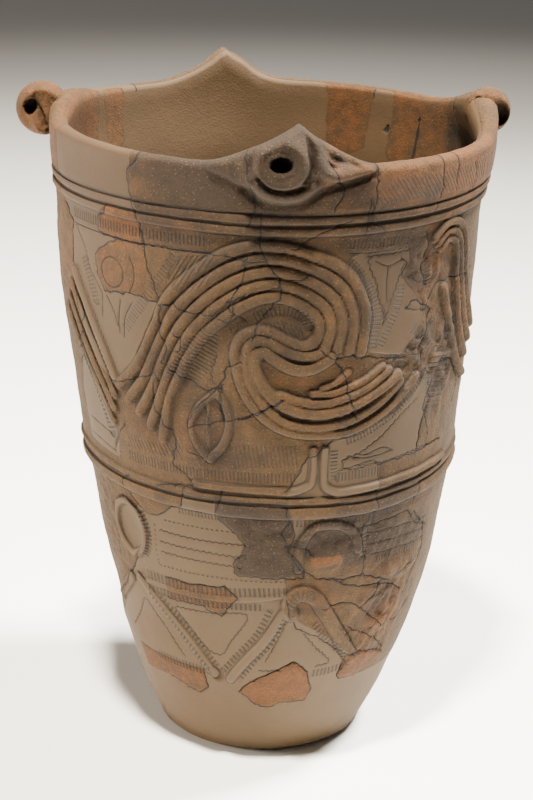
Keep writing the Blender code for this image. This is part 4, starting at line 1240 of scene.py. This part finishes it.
@dataclass(frozen=True)
class FiredClay:
    """Low-fired earthenware with a restorer's tinted plaster, on one vessel.

    The clay was coiled, scraped and fired in an open fire, so it is matt, gritty and uneven in
    colour. The plaster was smoothed and painted, so it is finer, calmer and a little greyer.
    """

    brown: str = "#3b2911"
    orange: str = "#492b0d"
    # Smoke clouds of the open firing, and also painted shade where the dark attribute carries it on
    # clay.
    smoke_and_shade: str = "#241707"
    fill: str = "#48371f"
    fill_grey: str = "#3f311e"
    fill_warm: str = "#482d12"
    fill_dark: str = "#2c1e0d"
    speck: str = "#7d6840"
    # Painted shade: the dark laid into hollows, coil grooves, pressed strokes and incised lines.
    recess_shade: str = "#1c150e"
    crack: str = "#120c07"
    roughness: float = 0.9
    fill_roughness: float = 0.78
    grit_mm: float = 1.5
    mottle_mm: float = 8.0
    cloud_mm: float = 30.0
    temper_mm: float = 2.4

    def material(self) -> bpy.types.Material:
        """Build the node material.

        Returns:
            The finished material.
        """
        made = bpy.data.materials.new("low_fired_earthenware")
        made.use_nodes = True
        tree = made.node_tree
        shader = tree.nodes["Principled BSDF"]
        shader.inputs["Specular IOR Level"].default_value = 0.35
        shader.inputs["IOR"].default_value = 1.5
        place = add_node(tree, "ShaderNodeTexCoord").outputs["Object"]
        fields = {}
        for name in CARRIED + ("line", "line_near", "crack", "crack_near"):
            fields[name] = add_node(tree, "ShaderNodeAttribute", {"attribute_name": name}).outputs["Fac"]
        noises = {}
        sizes = (("cloud", self.cloud_mm, 3.0), ("mottle", self.mottle_mm, 5.0),
                 ("grit", self.grit_mm, 3.0))
        for name, size, detail in sizes:
            noises[name] = add_node(tree, "ShaderNodeTexNoise",
                                    {"Scale": 1.0 / (size * MM), "Detail": detail, "Roughness": 0.6},
                                    {"Vector": place}).outputs["Fac"]
        scale = 1.0 / (self.temper_mm * MM)
        cells = add_node(tree, "ShaderNodeTexVoronoi", {"Scale": scale}, {"Vector": place})
        masks = self.masks(tree, fields, noises, cells.outputs["Distance"])
        colour = self.colour(tree, fields, noises, masks)
        tree.links.new(colour, shader.inputs["Base Color"])
        rough = fade(tree, masks["fill"], 0.0, 1.0, self.roughness, self.fill_roughness, smooth=False)
        tree.links.new(rough, shader.inputs["Roughness"])
        tree.links.new(self.bump(tree, noises, masks), shader.inputs["Normal"])
        return made

    def masks(self, tree: bpy.types.NodeTree, fields: dict, noises: dict,
              cells: bpy.types.NodeSocket) -> dict:
        """Turn the carried marks into masks from 0 to 1.

        Args:
            tree: Node tree.
            fields: Attribute sockets by name.
            noises: Noise sockets by name.
            cells: Distance to the nearest grain of temper.

        Returns:
            Mask sockets by name.
        """
        masks = {}
        ranged = (
            ("fill", "mottle", 1.6, -0.35, 0.35),
            ("warm", "mottle", 1.3, 0.10, 0.85),
            ("dark", "cloud", 1.6, 0.15, 0.95),
        )
        for name, noise, weight, low, high in ranged:
            part = maths(tree, "SUBTRACT", noises[noise], 0.5)
            masks[name] = fade(tree, maths(tree, "MULTIPLY_ADD", part, weight, fields[name]), low, high)
        masks["calm"] = maths(tree, "MAXIMUM", masks["fill"], fields["calm"])
        part = maths(tree, "SUBTRACT", noises["mottle"], 0.5)
        for name, half, soft, stray in (("line", 0.15, 0.60, 0.0), ("crack", 0.25, 0.70, 0.8)):
            size = maths(tree, "MULTIPLY_ADD", part, stray, maths(tree, "ABSOLUTE", fields[name]))
            thin = fade(tree, size, half, soft, 1.0, 0.0)
            near = fade(tree, fields[name + "_near"], 1.1, 1.7, 1.0, 0.0, smooth=False)
            masks[name] = maths(tree, "MULTIPLY", thin, near)
        part = maths(tree, "FRACT", fields["phase"])
        size = maths(tree, "ABSOLUTE", maths(tree, "SUBTRACT", part, 0.5))
        pulse = fade(tree, size, 0.10, 0.27, 1.0, 0.0)
        ends = fade(tree, fields["edge"], 0.0, 0.7, smooth=False)
        masks["tick"] = maths(tree, "MULTIPLY", maths(tree, "MULTIPLY", pulse, ends), fields["depth"])
        # Painted shade: the groove mask darkens the crease along each coil's edge.
        inner = fade(tree, fields["brink"], -1.5, -0.2)
        outer = fade(tree, fields["brink"], 0.2, 1.6, 1.0, 0.0)
        masks["groove"] = maths(tree, "MULTIPLY", maths(tree, "MULTIPLY", inner, outer), fields["close"])
        masks["speck"] = fade(tree, cells, 0.12, 0.20, 1.0, 0.0, smooth=False)
        return masks

    def colour(self, tree: bpy.types.NodeTree, fields: dict, noises: dict,
               masks: dict) -> bpy.types.NodeSocket:
        """Mix the colour of clay and plaster, then the painted shade in every cut and the dark of the
        cracks.

        Args:
            tree: Node tree.
            fields: Attribute sockets by name.
            noises: Noise sockets by name.
            masks: Mask sockets by name.

        Returns:
            The colour socket.
        """
        clay = blend(tree, masks["warm"], self.brown, self.orange)
        # Smoke clouds from the firing, plus painted shade: the front lug's cast shadow and the darker
        # upper body.
        clay = blend(tree, masks["dark"], clay, self.smoke_and_shade)
        clay = scaled(tree, clay, fade(tree, noises["mottle"], 0.3, 0.7, 0.78, 1.18, smooth=False))
        clay = blend(tree, maths(tree, "MULTIPLY", masks["speck"], 0.28), clay, self.speck)
        plaster = blend(tree, noises["cloud"], self.fill_grey, self.fill)
        plaster = blend(tree, fields["warm"], plaster, self.fill_warm)
        # On plaster the dark attribute also brings painted shade: deep inside the vessel and over the
        # upper body.
        plaster = blend(tree, fields["dark"], plaster, self.fill_dark)
        colour = blend(tree, masks["fill"], clay, plaster)
        grain = fade(tree, noises["grit"], 0.25, 0.75, 0.72, 1.26, smooth=False)
        calm = maths(tree, "MULTIPLY", masks["calm"], 0.8)
        grain = add_node(tree, "ShaderNodeMix", {"data_type": "FLOAT", 3: 1.0},
                         {0: calm, 2: grain}).outputs[0]
        colour = scaled(tree, colour, grain)
        # Painted shade in the eye, carvings, step and pits (hollow), between coils (groove), in strokes
        # (tick) and in incised lines; the cracks keep their own dark joint colour.
        cuts = ((fields["hollow"], 0.66, self.recess_shade), (masks["groove"], 0.66, self.recess_shade),
                (masks["tick"], 0.74, self.recess_shade), (masks["line"], 0.80, self.recess_shade),
                (masks["crack"], 0.95, self.crack))
        for mask, weight, code in cuts:
            colour = blend(tree, maths(tree, "MULTIPLY", mask, weight, clamp=True), colour, code)
        return colour

    def bump(self, tree: bpy.types.NodeTree, noises: dict, masks: dict) -> bpy.types.NodeSocket:
        """Add up the fine surface in millimetres and bump it.

        Args:
            tree: Node tree.
            noises: Noise sockets by name.
            masks: Mask sockets by name.

        Returns:
            The normal socket.
        """
        rough = fade(tree, masks["calm"], 0.0, 1.0, 1.0, 0.25, smooth=False)
        grit = maths(tree, "MULTIPLY", noises["grit"], 0.95)
        lumps = maths(tree, "MULTIPLY_ADD", noises["mottle"], 0.9, grit)
        height = maths(tree, "MULTIPLY", lumps, rough)
        for name, depth in (("groove", -0.9), ("tick", -1.1), ("line", -0.7), ("crack", -0.8)):
            height = maths(tree, "MULTIPLY_ADD", masks[name], depth, height)
        return add_node(tree, "ShaderNodeBump", {"Strength": 1.0, "Distance": MM},
                        {"Height": height}).outputs["Normal"]


@dataclass(frozen=True)
class MattWhiteBoard:
    """Painted board of the studio floor, matt and pale, so it lifts soft light onto the foot."""

    white: str = "#f5f4f0"
    roughness: float = 0.7

    def material(self) -> bpy.types.Material:
        """Build the board's material.

        Returns:
            The finished material.
        """
        made = bpy.data.materials.new("matt_white_board")
        made.use_nodes = True
        shader = made.node_tree.nodes["Principled BSDF"]
        shader.inputs["Base Color"].default_value = linear(self.white)
        shader.inputs["Roughness"].default_value = self.roughness
        return made


@dataclass
class Vessel:
    """The whole pot as one closed, hollow piece."""

    body: Body
    lugs: tuple["RingLug", ...]
    zones: tuple[tuple[float, float, int], ...] = (
        (-84.0, -66.0, 15), (-66.0, -48.0, 27), (-48.0, 48.0, 189), (48.0, 66.0, 27), (66.0, 84.0, 15),
    )
    back_cells: int = 99
    rows: tuple[tuple[float, float, int], ...] = (
        (42, 130, 44), (130, 160, 22), (160, 200, 24), (200, 235, 28), (235, 404, 124), (404, 424, 15),
        (424, 445, 28),
    )
    low_rows: tuple[float, ...] = (36.5, 30, 24, 18, 13, 9, 6, 3.5, 1.5, 0)
    coarse: int = 3
    lip_rows: int = 8
    neck_rows: int = 8
    wall_rows: int = 10
    corner_rows: int = 5
    hand_built: Layers = ((0.5, 46.0, 1), (0.22, 13.0, 2))
    clay_grain: Layers = ((0.12, 3.4, 3), (0.10, 6.0, 4))
    worn_lumps: Layers = ((1.6, 7.0, 5), (1.1, 3.8, 6))
    inner_wall: Layers = ((0.6, 40.0, 9), (0.2, 12.0, 7))
    lip_edge: Layers = ((0.25, 9.0, 8),)
    under_shares: tuple[float, ...] = (0.7, 0.5)
    floor_shares: tuple[float, ...] = (0.6, 0.5)
    line_half: float = 1.1
    line_depth: float = 0.6
    foot_steady: float = 6.0
    worn_loss: float = 0.45

    def columns(self) -> np.ndarray:
        """Give the angle of each column, front first, from -270 to 90 degrees.

        Returns:
            Angles in degrees.
        """
        parts = [np.linspace(low, high, count, endpoint=False) for low, high, count in self.zones]
        first = self.zones[0][0]
        last = self.zones[-1][1]
        parts.append(np.linspace(last, first + 360.0, self.back_cells, endpoint=False))
        angles = np.concatenate(parts)
        return np.where(angles < 90.0, angles, angles - 360.0)

    def levels(self) -> np.ndarray:
        """Give the height of each fine row on the sheet.

        Returns:
            Heights in millimetres, from low to high.
        """
        parts = [np.linspace(low, high, count, endpoint=False) for low, high, count in self.rows]
        return np.concatenate(parts + [[self.rows[-1][1]]])

    def sheet(self, angle: np.ndarray, level: np.ndarray) -> Sheet:
        """Carve the outside at the given points.

        Args:
            angle: Angle of each point.
            level: Height of each point on the sheet.

        Returns:
            The carved sheet.
        """
        sheet = Sheet(self.body, angle, level)
        upper = UpperFrieze()
        lower = LowerFrieze()
        for ridge in upper.ridges() + lower.ridges() + upper.back_ridges() + lower.back_ridges():
            sheet.ridge(ridge)
        lower.dress(sheet)
        RimBand().dress(sheet)
        for row in upper.rows() + lower.rows():
            sheet.strokes(row)
        for field in upper.combs():
            sheet.comb(field)
        for path in upper.lines():
            sheet.mark(Mark.LINE, spline(path), self.line_half, self.line_depth)
        for path in upper.wavy() + lower.wavy():
            sheet.mark(Mark.LINE, wobbled(path), self.line_half, self.line_depth)
        Repairs().dress(sheet)
        s = sheet.points[:, 0]
        h = sheet.level
        sheet.rise += uneven(s, h, self.hand_built)
        bare = np.clip(-sheet.fill / 2.0, 0, 1)
        grain = uneven(s, h, self.clay_grain)
        wear = np.clip(sheet.worn, 0, 1)
        lumps = uneven(s, h, self.worn_lumps)
        keep = 1 - self.worn_loss * wear
        # Painted shade in the pits of the worn clay: the pits feed the hollow darkening.
        pits = wear * bare * np.clip(-0.9 * lumps - 0.25, 0, 0.8)
        sheet.hollow = np.clip(np.maximum(sheet.hollow, pits), 0, 1.5)
        sheet.rise += sheet.coil * keep + bare * (grain + wear * lumps)
        return sheet

    def build(self) -> bpy.types.Object:
        """Build the closed mesh with its carried marks.

        Returns:
            The vessel object.
        """
        columns = self.columns()
        levels = self.levels()
        count = len(columns)
        height = len(levels)
        fine = count - self.back_cells + 1
        step = self.coarse
        used = np.zeros((height, count), bool)
        used[:, :fine] = True
        used[::step, fine:] = True
        number = np.full((height, count), -1)
        number[used] = np.arange(used.sum())
        row, col = np.nonzero(used)
        outside = self.sheet(columns[col], levels[row])
        radius = self.body.radius(outside.z) + outside.rise
        points = [self.body.place(outside.angle, radius, outside.z)]
        sheets = [outside]
        total = len(row)
        faces: list[list[int]] = []
        wide = fine - 1
        a = number[:-1, :wide]
        quads = np.stack([a, number[:-1, 1:fine], number[1:, 1:fine], number[1:, :wide]], -1)
        faces += quads.reshape(-1, 4).tolist()
        back = list(range(wide, count)) + [0]
        for left, right in zip(back[:-1], back[1:]):
            for r in range(0, height - 1, step):
                lower_edge = [number[r, left], number[r, right]]
                ups = range(r + 1, r + step + 1)
                side_right = [number[r + step, right]]
                side_left = [number[r + step, left]]
                if right == 0:
                    side_right = [number[k, right] for k in ups]
                if left == wide:
                    side_left = [number[k, left] for k in ups]
                faces.append([int(i) for i in lower_edge + side_right + side_left[::-1]])
        faces_low, low_points, low_sheets, total = self.foot(columns[::step], number[0].tolist(), total)
        faces += faces_low
        points += low_points
        sheets += low_sheets
        top = number[-1].tolist()
        faces_top, top_points, top_sheets, total = self.lip_and_inside(columns, top, points[0], total)
        faces += faces_top
        points += top_points
        sheets += top_sheets
        for lug in self.lugs:
            shell, lug_faces, lug_sheet = lug.build(self.body, total)
            total += len(shell)
            faces += lug_faces
            points.append(shell)
            sheets.append(lug_sheet)
        return self.assemble(np.concatenate(points), faces, sheets)

    def ring(self, upper: list[int], lower: list[int]) -> list[list[int]]:
        """Join two closed rows, the lower one as fine as the upper or coarser.

        Args:
            upper: Vertex numbers of the finer row.
            lower: Vertex numbers of the other row.

        Returns:
            Faces between them.
        """
        share = len(upper) // len(lower)
        faces = []
        for k, start in enumerate(lower):
            following = lower[(k + 1) % len(lower)]
            tops = [upper[(k * share + i) % len(upper)] for i in range(share + 1)]
            faces.append([start, following] + tops[::-1])
        return faces

    def foot(self, angle: np.ndarray, fine: list[int], total: int) -> tuple:
        """Build the plain foot and the underside.

        Args:
            angle: Angles of the coarse columns.
            fine: Vertex numbers of the lowest fine row.
            total: Number of vertices so far.

        Returns:
            Faces, point arrays, sheets and the new number of vertices.
        """
        faces: list[list[int]] = []
        points = []
        sheets = []
        upper = fine
        count = len(angle)
        for level in self.low_rows:
            sheet = self.sheet(angle, np.full(count, float(level)))
            radius = self.body.radius(sheet.z) + sheet.rise * min(level / self.foot_steady, 1.0)
            points.append(self.body.place(angle, radius, sheet.z))
            sheets.append(sheet)
            lower = list(range(total, total + count))
            total += count
            faces += self.ring(upper, lower)
            upper = lower
        for share in self.under_shares:
            points.append(points[-1] * np.array([share, share, 1.0]))
            sheets.append(sheets[-1])
            lower = list(range(total, total + count))
            total += count
            faces += self.ring(upper, lower)
            upper = lower
        faces.append(upper[::-1])
        return faces, points, sheets, total

    def lip_and_inside(self, columns: np.ndarray, top: list[int], outer: np.ndarray,
                       total: int) -> tuple:
        """Roll the lip over and build the inner wall and floor.

        Args:
            columns: Angles of all columns.
            top: Vertex numbers of the highest outside row.
            outer: Points of the outside.
            total: Number of vertices so far.

        Returns:
            Faces, point arrays, sheets and the new number of vertices.
        """
        faces: list[list[int]] = []
        points = []
        sheets = []
        body = self.body
        edge = outer[top]
        base = edge[:, 2]
        lean = body.lean(base)
        radius = np.hypot(edge[:, 0] - lean, edge[:, 1])
        bore = body.bore(columns, base)
        lip = body.lip(columns)
        turn = np.radians(columns)
        lower = top
        for k in range(1, self.lip_rows + 1):
            roll = math.pi * k / self.lip_rows
            r = (radius + bore) / 2 + (radius - bore) / 2 * math.cos(roll)
            row = np.array(body.edge + 4.0 + 2.0 * k)
            z = base + (lip + uneven(columns * ARC, row, self.lip_edge)) * math.sin(roll)
            points.append(np.stack([lean + r * np.sin(turn), -r * np.cos(turn), z], 1))
            sheet = self.sheet(columns, np.full(len(columns), body.edge - 0.2 * k))
            if k > self.lip_rows * 0.7:
                Inside().dress(sheet)
            sheet.edge[:] = -4.0
            sheet.hollow[:] = 0.0
            sheets.append(sheet)
            upper = list(range(total, total + len(columns)))
            total += len(columns)
            faces += self.ring(upper, lower)
            lower = upper
        inner = self.inner_levels()
        angle = columns[::self.coarse]
        start = base[::self.coarse]
        above = lower
        for share, level in inner:
            z = start * (1 - share) + level * share
            sheet = Sheet(body, angle, z)
            sheet.z = z
            Inside().dress(sheet)
            inward = uneven(angle * ARC, z, self.inner_wall)
            points.append(body.place(angle, body.bore(angle, z) - inward, z))
            sheets.append(sheet)
            below = list(range(total, total + len(angle)))
            total += len(angle)
            faces += [face[::-1] for face in self.ring(above, below)]
            above = below
        for share in self.floor_shares:
            points.append(points[-1] * np.array([share, share, 1.0]))
            sheets.append(sheets[-1])
            below = list(range(total, total + len(angle)))
            total += len(angle)
            faces += [face[::-1] for face in self.ring(above, below)]
            above = below
        faces.append(above)
        return faces, points, sheets, total

    def inner_levels(self) -> list[tuple[float, float]]:
        """List the rows down the inside, as a share of the way from the lip and a level."""
        neck = self.body.neck - 40.0
        corner = self.body.floor + self.body.corner
        levels = [(k / self.neck_rows, neck) for k in range(1, self.neck_rows + 1)]
        for k in range(1, self.wall_rows + 1):
            levels.append((1.0, neck + (corner - neck) * k / self.wall_rows))
        for k in range(1, self.corner_rows + 1):
            drop = math.sin(math.pi / 2 * k / self.corner_rows)
            levels.append((1.0, corner - self.body.corner * drop))
        return levels

    def assemble(self, points: np.ndarray, faces: list[list[int]],
                 sheets: list[Sheet]) -> bpy.types.Object:
        """Make the object and store the carried marks on its points.

        Args:
            points: All points, in millimetres.
            faces: All faces.
            sheets: Sheets in the order of the points.

        Returns:
            The vessel object.
        """
        mesh = bpy.data.meshes.new("vessel_wall")
        mesh.from_pydata((points * MM).tolist(), [], faces)
        mesh.validate()
        carried = {name: [getattr(sheet, name) for sheet in sheets] for name in CARRIED}
        for mark in Mark:
            carried[mark.value + "_near"] = [sheet.marks[mark][0] for sheet in sheets]
            carried[mark.value] = [sheet.marks[mark][1] for sheet in sheets]
        for name, parts in carried.items():
            values = np.concatenate(parts).astype(np.float32)
            mesh.attributes.new(name, "FLOAT", "POINT").data.foreach_set("value", values)
        mesh.shade_smooth()
        made = bpy.data.objects.new("pottery_vessel", mesh)
        bpy.context.scene.collection.objects.link(made)
        return made


@dataclass(frozen=True)
class RingLug:
    """Snail-like ring at the side of the rim, with a blind hole in its front cheek.

    The hole and the groove are placed in the cheek's own plane, in millimetres from its centre.
    """

    angle: float
    side: float
    radius: float
    off_wall: float
    off_rim: float
    hole: tuple[float, float, float]
    groove: tuple[Place, ...]
    roll: float
    warm: float
    dark: float
    half: float = 11.0
    depth: float = 12.0
    around: int = 54
    rings: int = 18

    def cheek(self, x: np.ndarray, y: np.ndarray, front: bool) -> tuple[np.ndarray, np.ndarray]:
        """Give the cheek's height over the ring's middle plane, and its painted shade.

        Args:
            x: Places across, in millimetres.
            y: Places up.
            front: Whether it is the cheek that the viewer sees.

        Returns:
            Heights and painted shade for the hole and the groove.
        """
        r = np.hypot(x, y) / self.radius
        round_off = self.half * np.clip(1 - r ** 3.2, 0, 1) ** 0.5
        if not front:
            return round_off - 3.0 * np.exp(-(r / 0.45) ** 2), np.zeros(len(x))
        b = np.hypot(x - self.side * abs(self.hole[0]), (y - self.hole[1]) / 1.2)
        dish = 3.2 * np.exp(-(b / (self.hole[2] * 1.7)) ** 2)
        hole = self.depth * np.clip(1 - (b / self.hole[2]) ** 4, 0, 1) ** 0.7
        line = np.array(self.groove, float)
        d, signed, _ = measure(line, np.stack([x, y], 1))
        cut = 2.8 * np.clip(1 - (d / 2.0) ** 2, 0, 1)
        swell = self.roll * np.exp(-((d - 5.5) / 3.4) ** 2) * (signed > 0)
        # Painted shade in the blind hole and along the cut groove.
        shade = 1.5 * np.clip(1.25 - b / self.hole[2], 0, 1)
        shade = np.maximum(shade, 0.9 * np.clip(1 - d / 1.9, 0, 1))
        arc = np.clip(0.5 + (y - self.side * 0.6 * x) / self.radius, 0, 1)
        swell = swell + 0.5 * self.roll * arc * np.exp(-((r - 0.78) / 0.13) ** 2)
        return round_off - dish - hole - cut + swell, np.clip(shade, 0, 1.5)

    def build(self, body: Body, start: int) -> tuple[np.ndarray, list[list[int]], Sheet]:
        """Build the ring as a closed shell in place.

        Args:
            body: Form that carries it.
            start: Number of the first vertex.

        Returns:
            Points, faces and the marks carried by the points.
        """
        shares = np.sin(np.linspace(0, math.pi / 2, self.rings + 1))[1:]
        turns = np.linspace(0, 2 * math.pi, self.around, endpoint=False)
        r, t = np.meshgrid(shares * self.radius, turns, indexing="ij")
        x = np.concatenate([[0.0], (r * np.cos(t)).ravel()])
        y = np.concatenate([[0.0], (r * np.sin(t)).ravel()])
        count = len(x)
        high, shade = self.cheek(x, y, True)
        low, plain = self.cheek(x, y, False)
        rim = slice(count - self.around, count)
        low[rim] = 0.0
        high[rim] = 0.0
        grain = 0.45 * cloud(x + 400 + 3 * high, y + 200, 3.2, 11)
        grain = grain + 0.3 * cloud(x + 300, y + 100 + high, 5.0, 12)
        level = np.concatenate([high + grain, -low[:rim.start]])
        px = np.concatenate([x, x[:rim.start]])
        py = np.concatenate([y, y[:rim.start]])
        faces: list[list[int]] = []
        for base, last, flip in ((0, count, False), (count, count, True)):
            for k in range(self.rings):
                for j in range(self.around):
                    n = (j + 1) % self.around
                    outer = [1 + k * self.around + j, 1 + k * self.around + n]
                    inner = [i - self.around for i in outer[::-1]] if k else [0]
                    face = [i + (base if i < rim.start else 0) for i in outer + inner]
                    faces.append([start + i for i in (face[::-1] if flip else face)])
        out = float(body.radius(body.crest)) + self.off_wall
        turn = math.radians(self.angle)
        twist = math.radians(self.angle - self.side * 90.0)
        east = px * math.cos(twist) + level * math.sin(twist) + out * math.sin(turn)
        south = px * math.sin(twist) - level * math.cos(twist) - out * math.cos(turn)
        points = np.stack([east, south, py + body.crest + self.off_rim], 1)
        sheet = Sheet(body, np.full(len(px), self.angle), np.full(len(px), body.edge))
        sheet.warm[:] = self.warm
        sheet.dark[:] = self.dark + 0.25 * cloud(px + 200, py + 200, 9.0, 13)
        # The front cheek's painted shade goes into hollow.
        sheet.hollow[:count] = shade
        return points, faces, sheet


@dataclass(frozen=True)
class Lamp:
    """One soft area light: place and size in metres, power in watts and spread in degrees."""

    name: str
    place: tuple[float, float, float]
    size: float
    power: float
    spread: float
    colour: str


@dataclass(frozen=True)
class Studio:
    """Pale floor, soft lights and the camera at the photo's angle."""

    floor_size: float = 14.0
    camera_place: tuple[float, float, float] = (0.0, -1.354, 0.729)
    camera_pitch: float = 19.7
    camera_roll: float = 1.15
    lens: float = 90.0
    sensor: float = 36.0
    aim_height: float = 0.25
    room: str = "#f1efec"
    room_strength: float = 0.09
    lamps: tuple[Lamp, ...] = (
        Lamp("over", (1.75, 0.45, 3.8), 0.7, 105.0, 58.0, "#fffaf2"),
        Lamp("front", (-0.30, -1.30, 4.4), 0.35, 92.0, 56.0, "#fff5e6"),
        Lamp("left", (-3.2, 0.10, 0.5), 0.9, 195.0, 180.0, "#fff0de"),
    )

    def floor(self) -> bpy.types.Object:
        """Lay the floor."""
        half = self.floor_size / 2
        mesh = bpy.data.meshes.new("floor")
        corners = [(-half, -half, 0), (half, -half, 0), (half, half, 0), (-half, half, 0)]
        mesh.from_pydata(corners, [], [(0, 1, 2, 3)])
        made = bpy.data.objects.new("studio_floor", mesh)
        made.data.materials.append(MattWhiteBoard().material())
        bpy.context.scene.collection.objects.link(made)
        return made

    def lights(self) -> None:
        """Hang the lights and set the room's glow."""
        for kind in self.lamps:
            data = bpy.data.lights.new(kind.name, "AREA")
            data.size = kind.size
            data.spread = math.radians(kind.spread)
            data.energy = kind.power
            data.color = linear(kind.colour)[:3]
            lamp = bpy.data.objects.new(kind.name, data)
            lamp.location = kind.place
            aim = Vector((0.0, 0.0, self.aim_height)) - lamp.location
            lamp.rotation_euler = aim.to_track_quat("-Z", "Y").to_euler()
            bpy.context.scene.collection.objects.link(lamp)
        world = bpy.data.worlds.new("room")
        world.use_nodes = True
        back = world.node_tree.nodes["Background"]
        back.inputs["Color"].default_value = linear(self.room)
        back.inputs["Strength"].default_value = self.room_strength
        bpy.context.scene.world = world

    def camera(self) -> None:
        """Set the camera as the photo was taken."""
        data = bpy.data.cameras.new("camera")
        data.lens = self.lens
        data.sensor_width = self.sensor
        data.sensor_height = self.sensor
        made = bpy.data.objects.new("camera", data)
        tilt = Matrix.Rotation(math.radians(90.0 - self.camera_pitch), 4, "X")
        roll = Matrix.Rotation(math.radians(self.camera_roll), 4, "Z")
        made.matrix_world = Matrix.Translation(self.camera_place) @ tilt @ roll
        bpy.context.scene.collection.objects.link(made)
        bpy.context.scene.camera = made


def main() -> None:
    """Build the vessel, dress it and light it."""
    logging.basicConfig(level=logging.INFO, format="%(name)s: %(message)s")
    studio = Studio()
    studio.camera()
    studio.lights()
    studio.floor()
    log.info("studio ready")
    body = Body()
    left = RingLug(-91.0, -1.0, 18.4, 6.6, 2.8, (7.2, 2.4, 4.6),
                   ((2.6, -9.5), (-0.4, 0.5), (-3.6, 6.5)), 3.8, 0.62, 0.05)
    right = RingLug(93.0, 1.0, 16.2, -2.9, 6.0, (7.6, -2.0, 7.4),
                    ((-9.0, -9.0), (-11.0, 0.0), (-8.0, 9.0)), 1.0, 0.5, 0.3)
    vessel = Vessel(body, (left, right)).build()
    vessel.data.materials.append(FiredClay().material())
    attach(vessel, "root")
    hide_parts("vessel")
    triangles = sum(len(face.vertices) - 2 for face in vessel.data.polygons)
    log.info("%s: %d triangles", vessel.name, triangles)


if __name__ == "__main__":
    main()
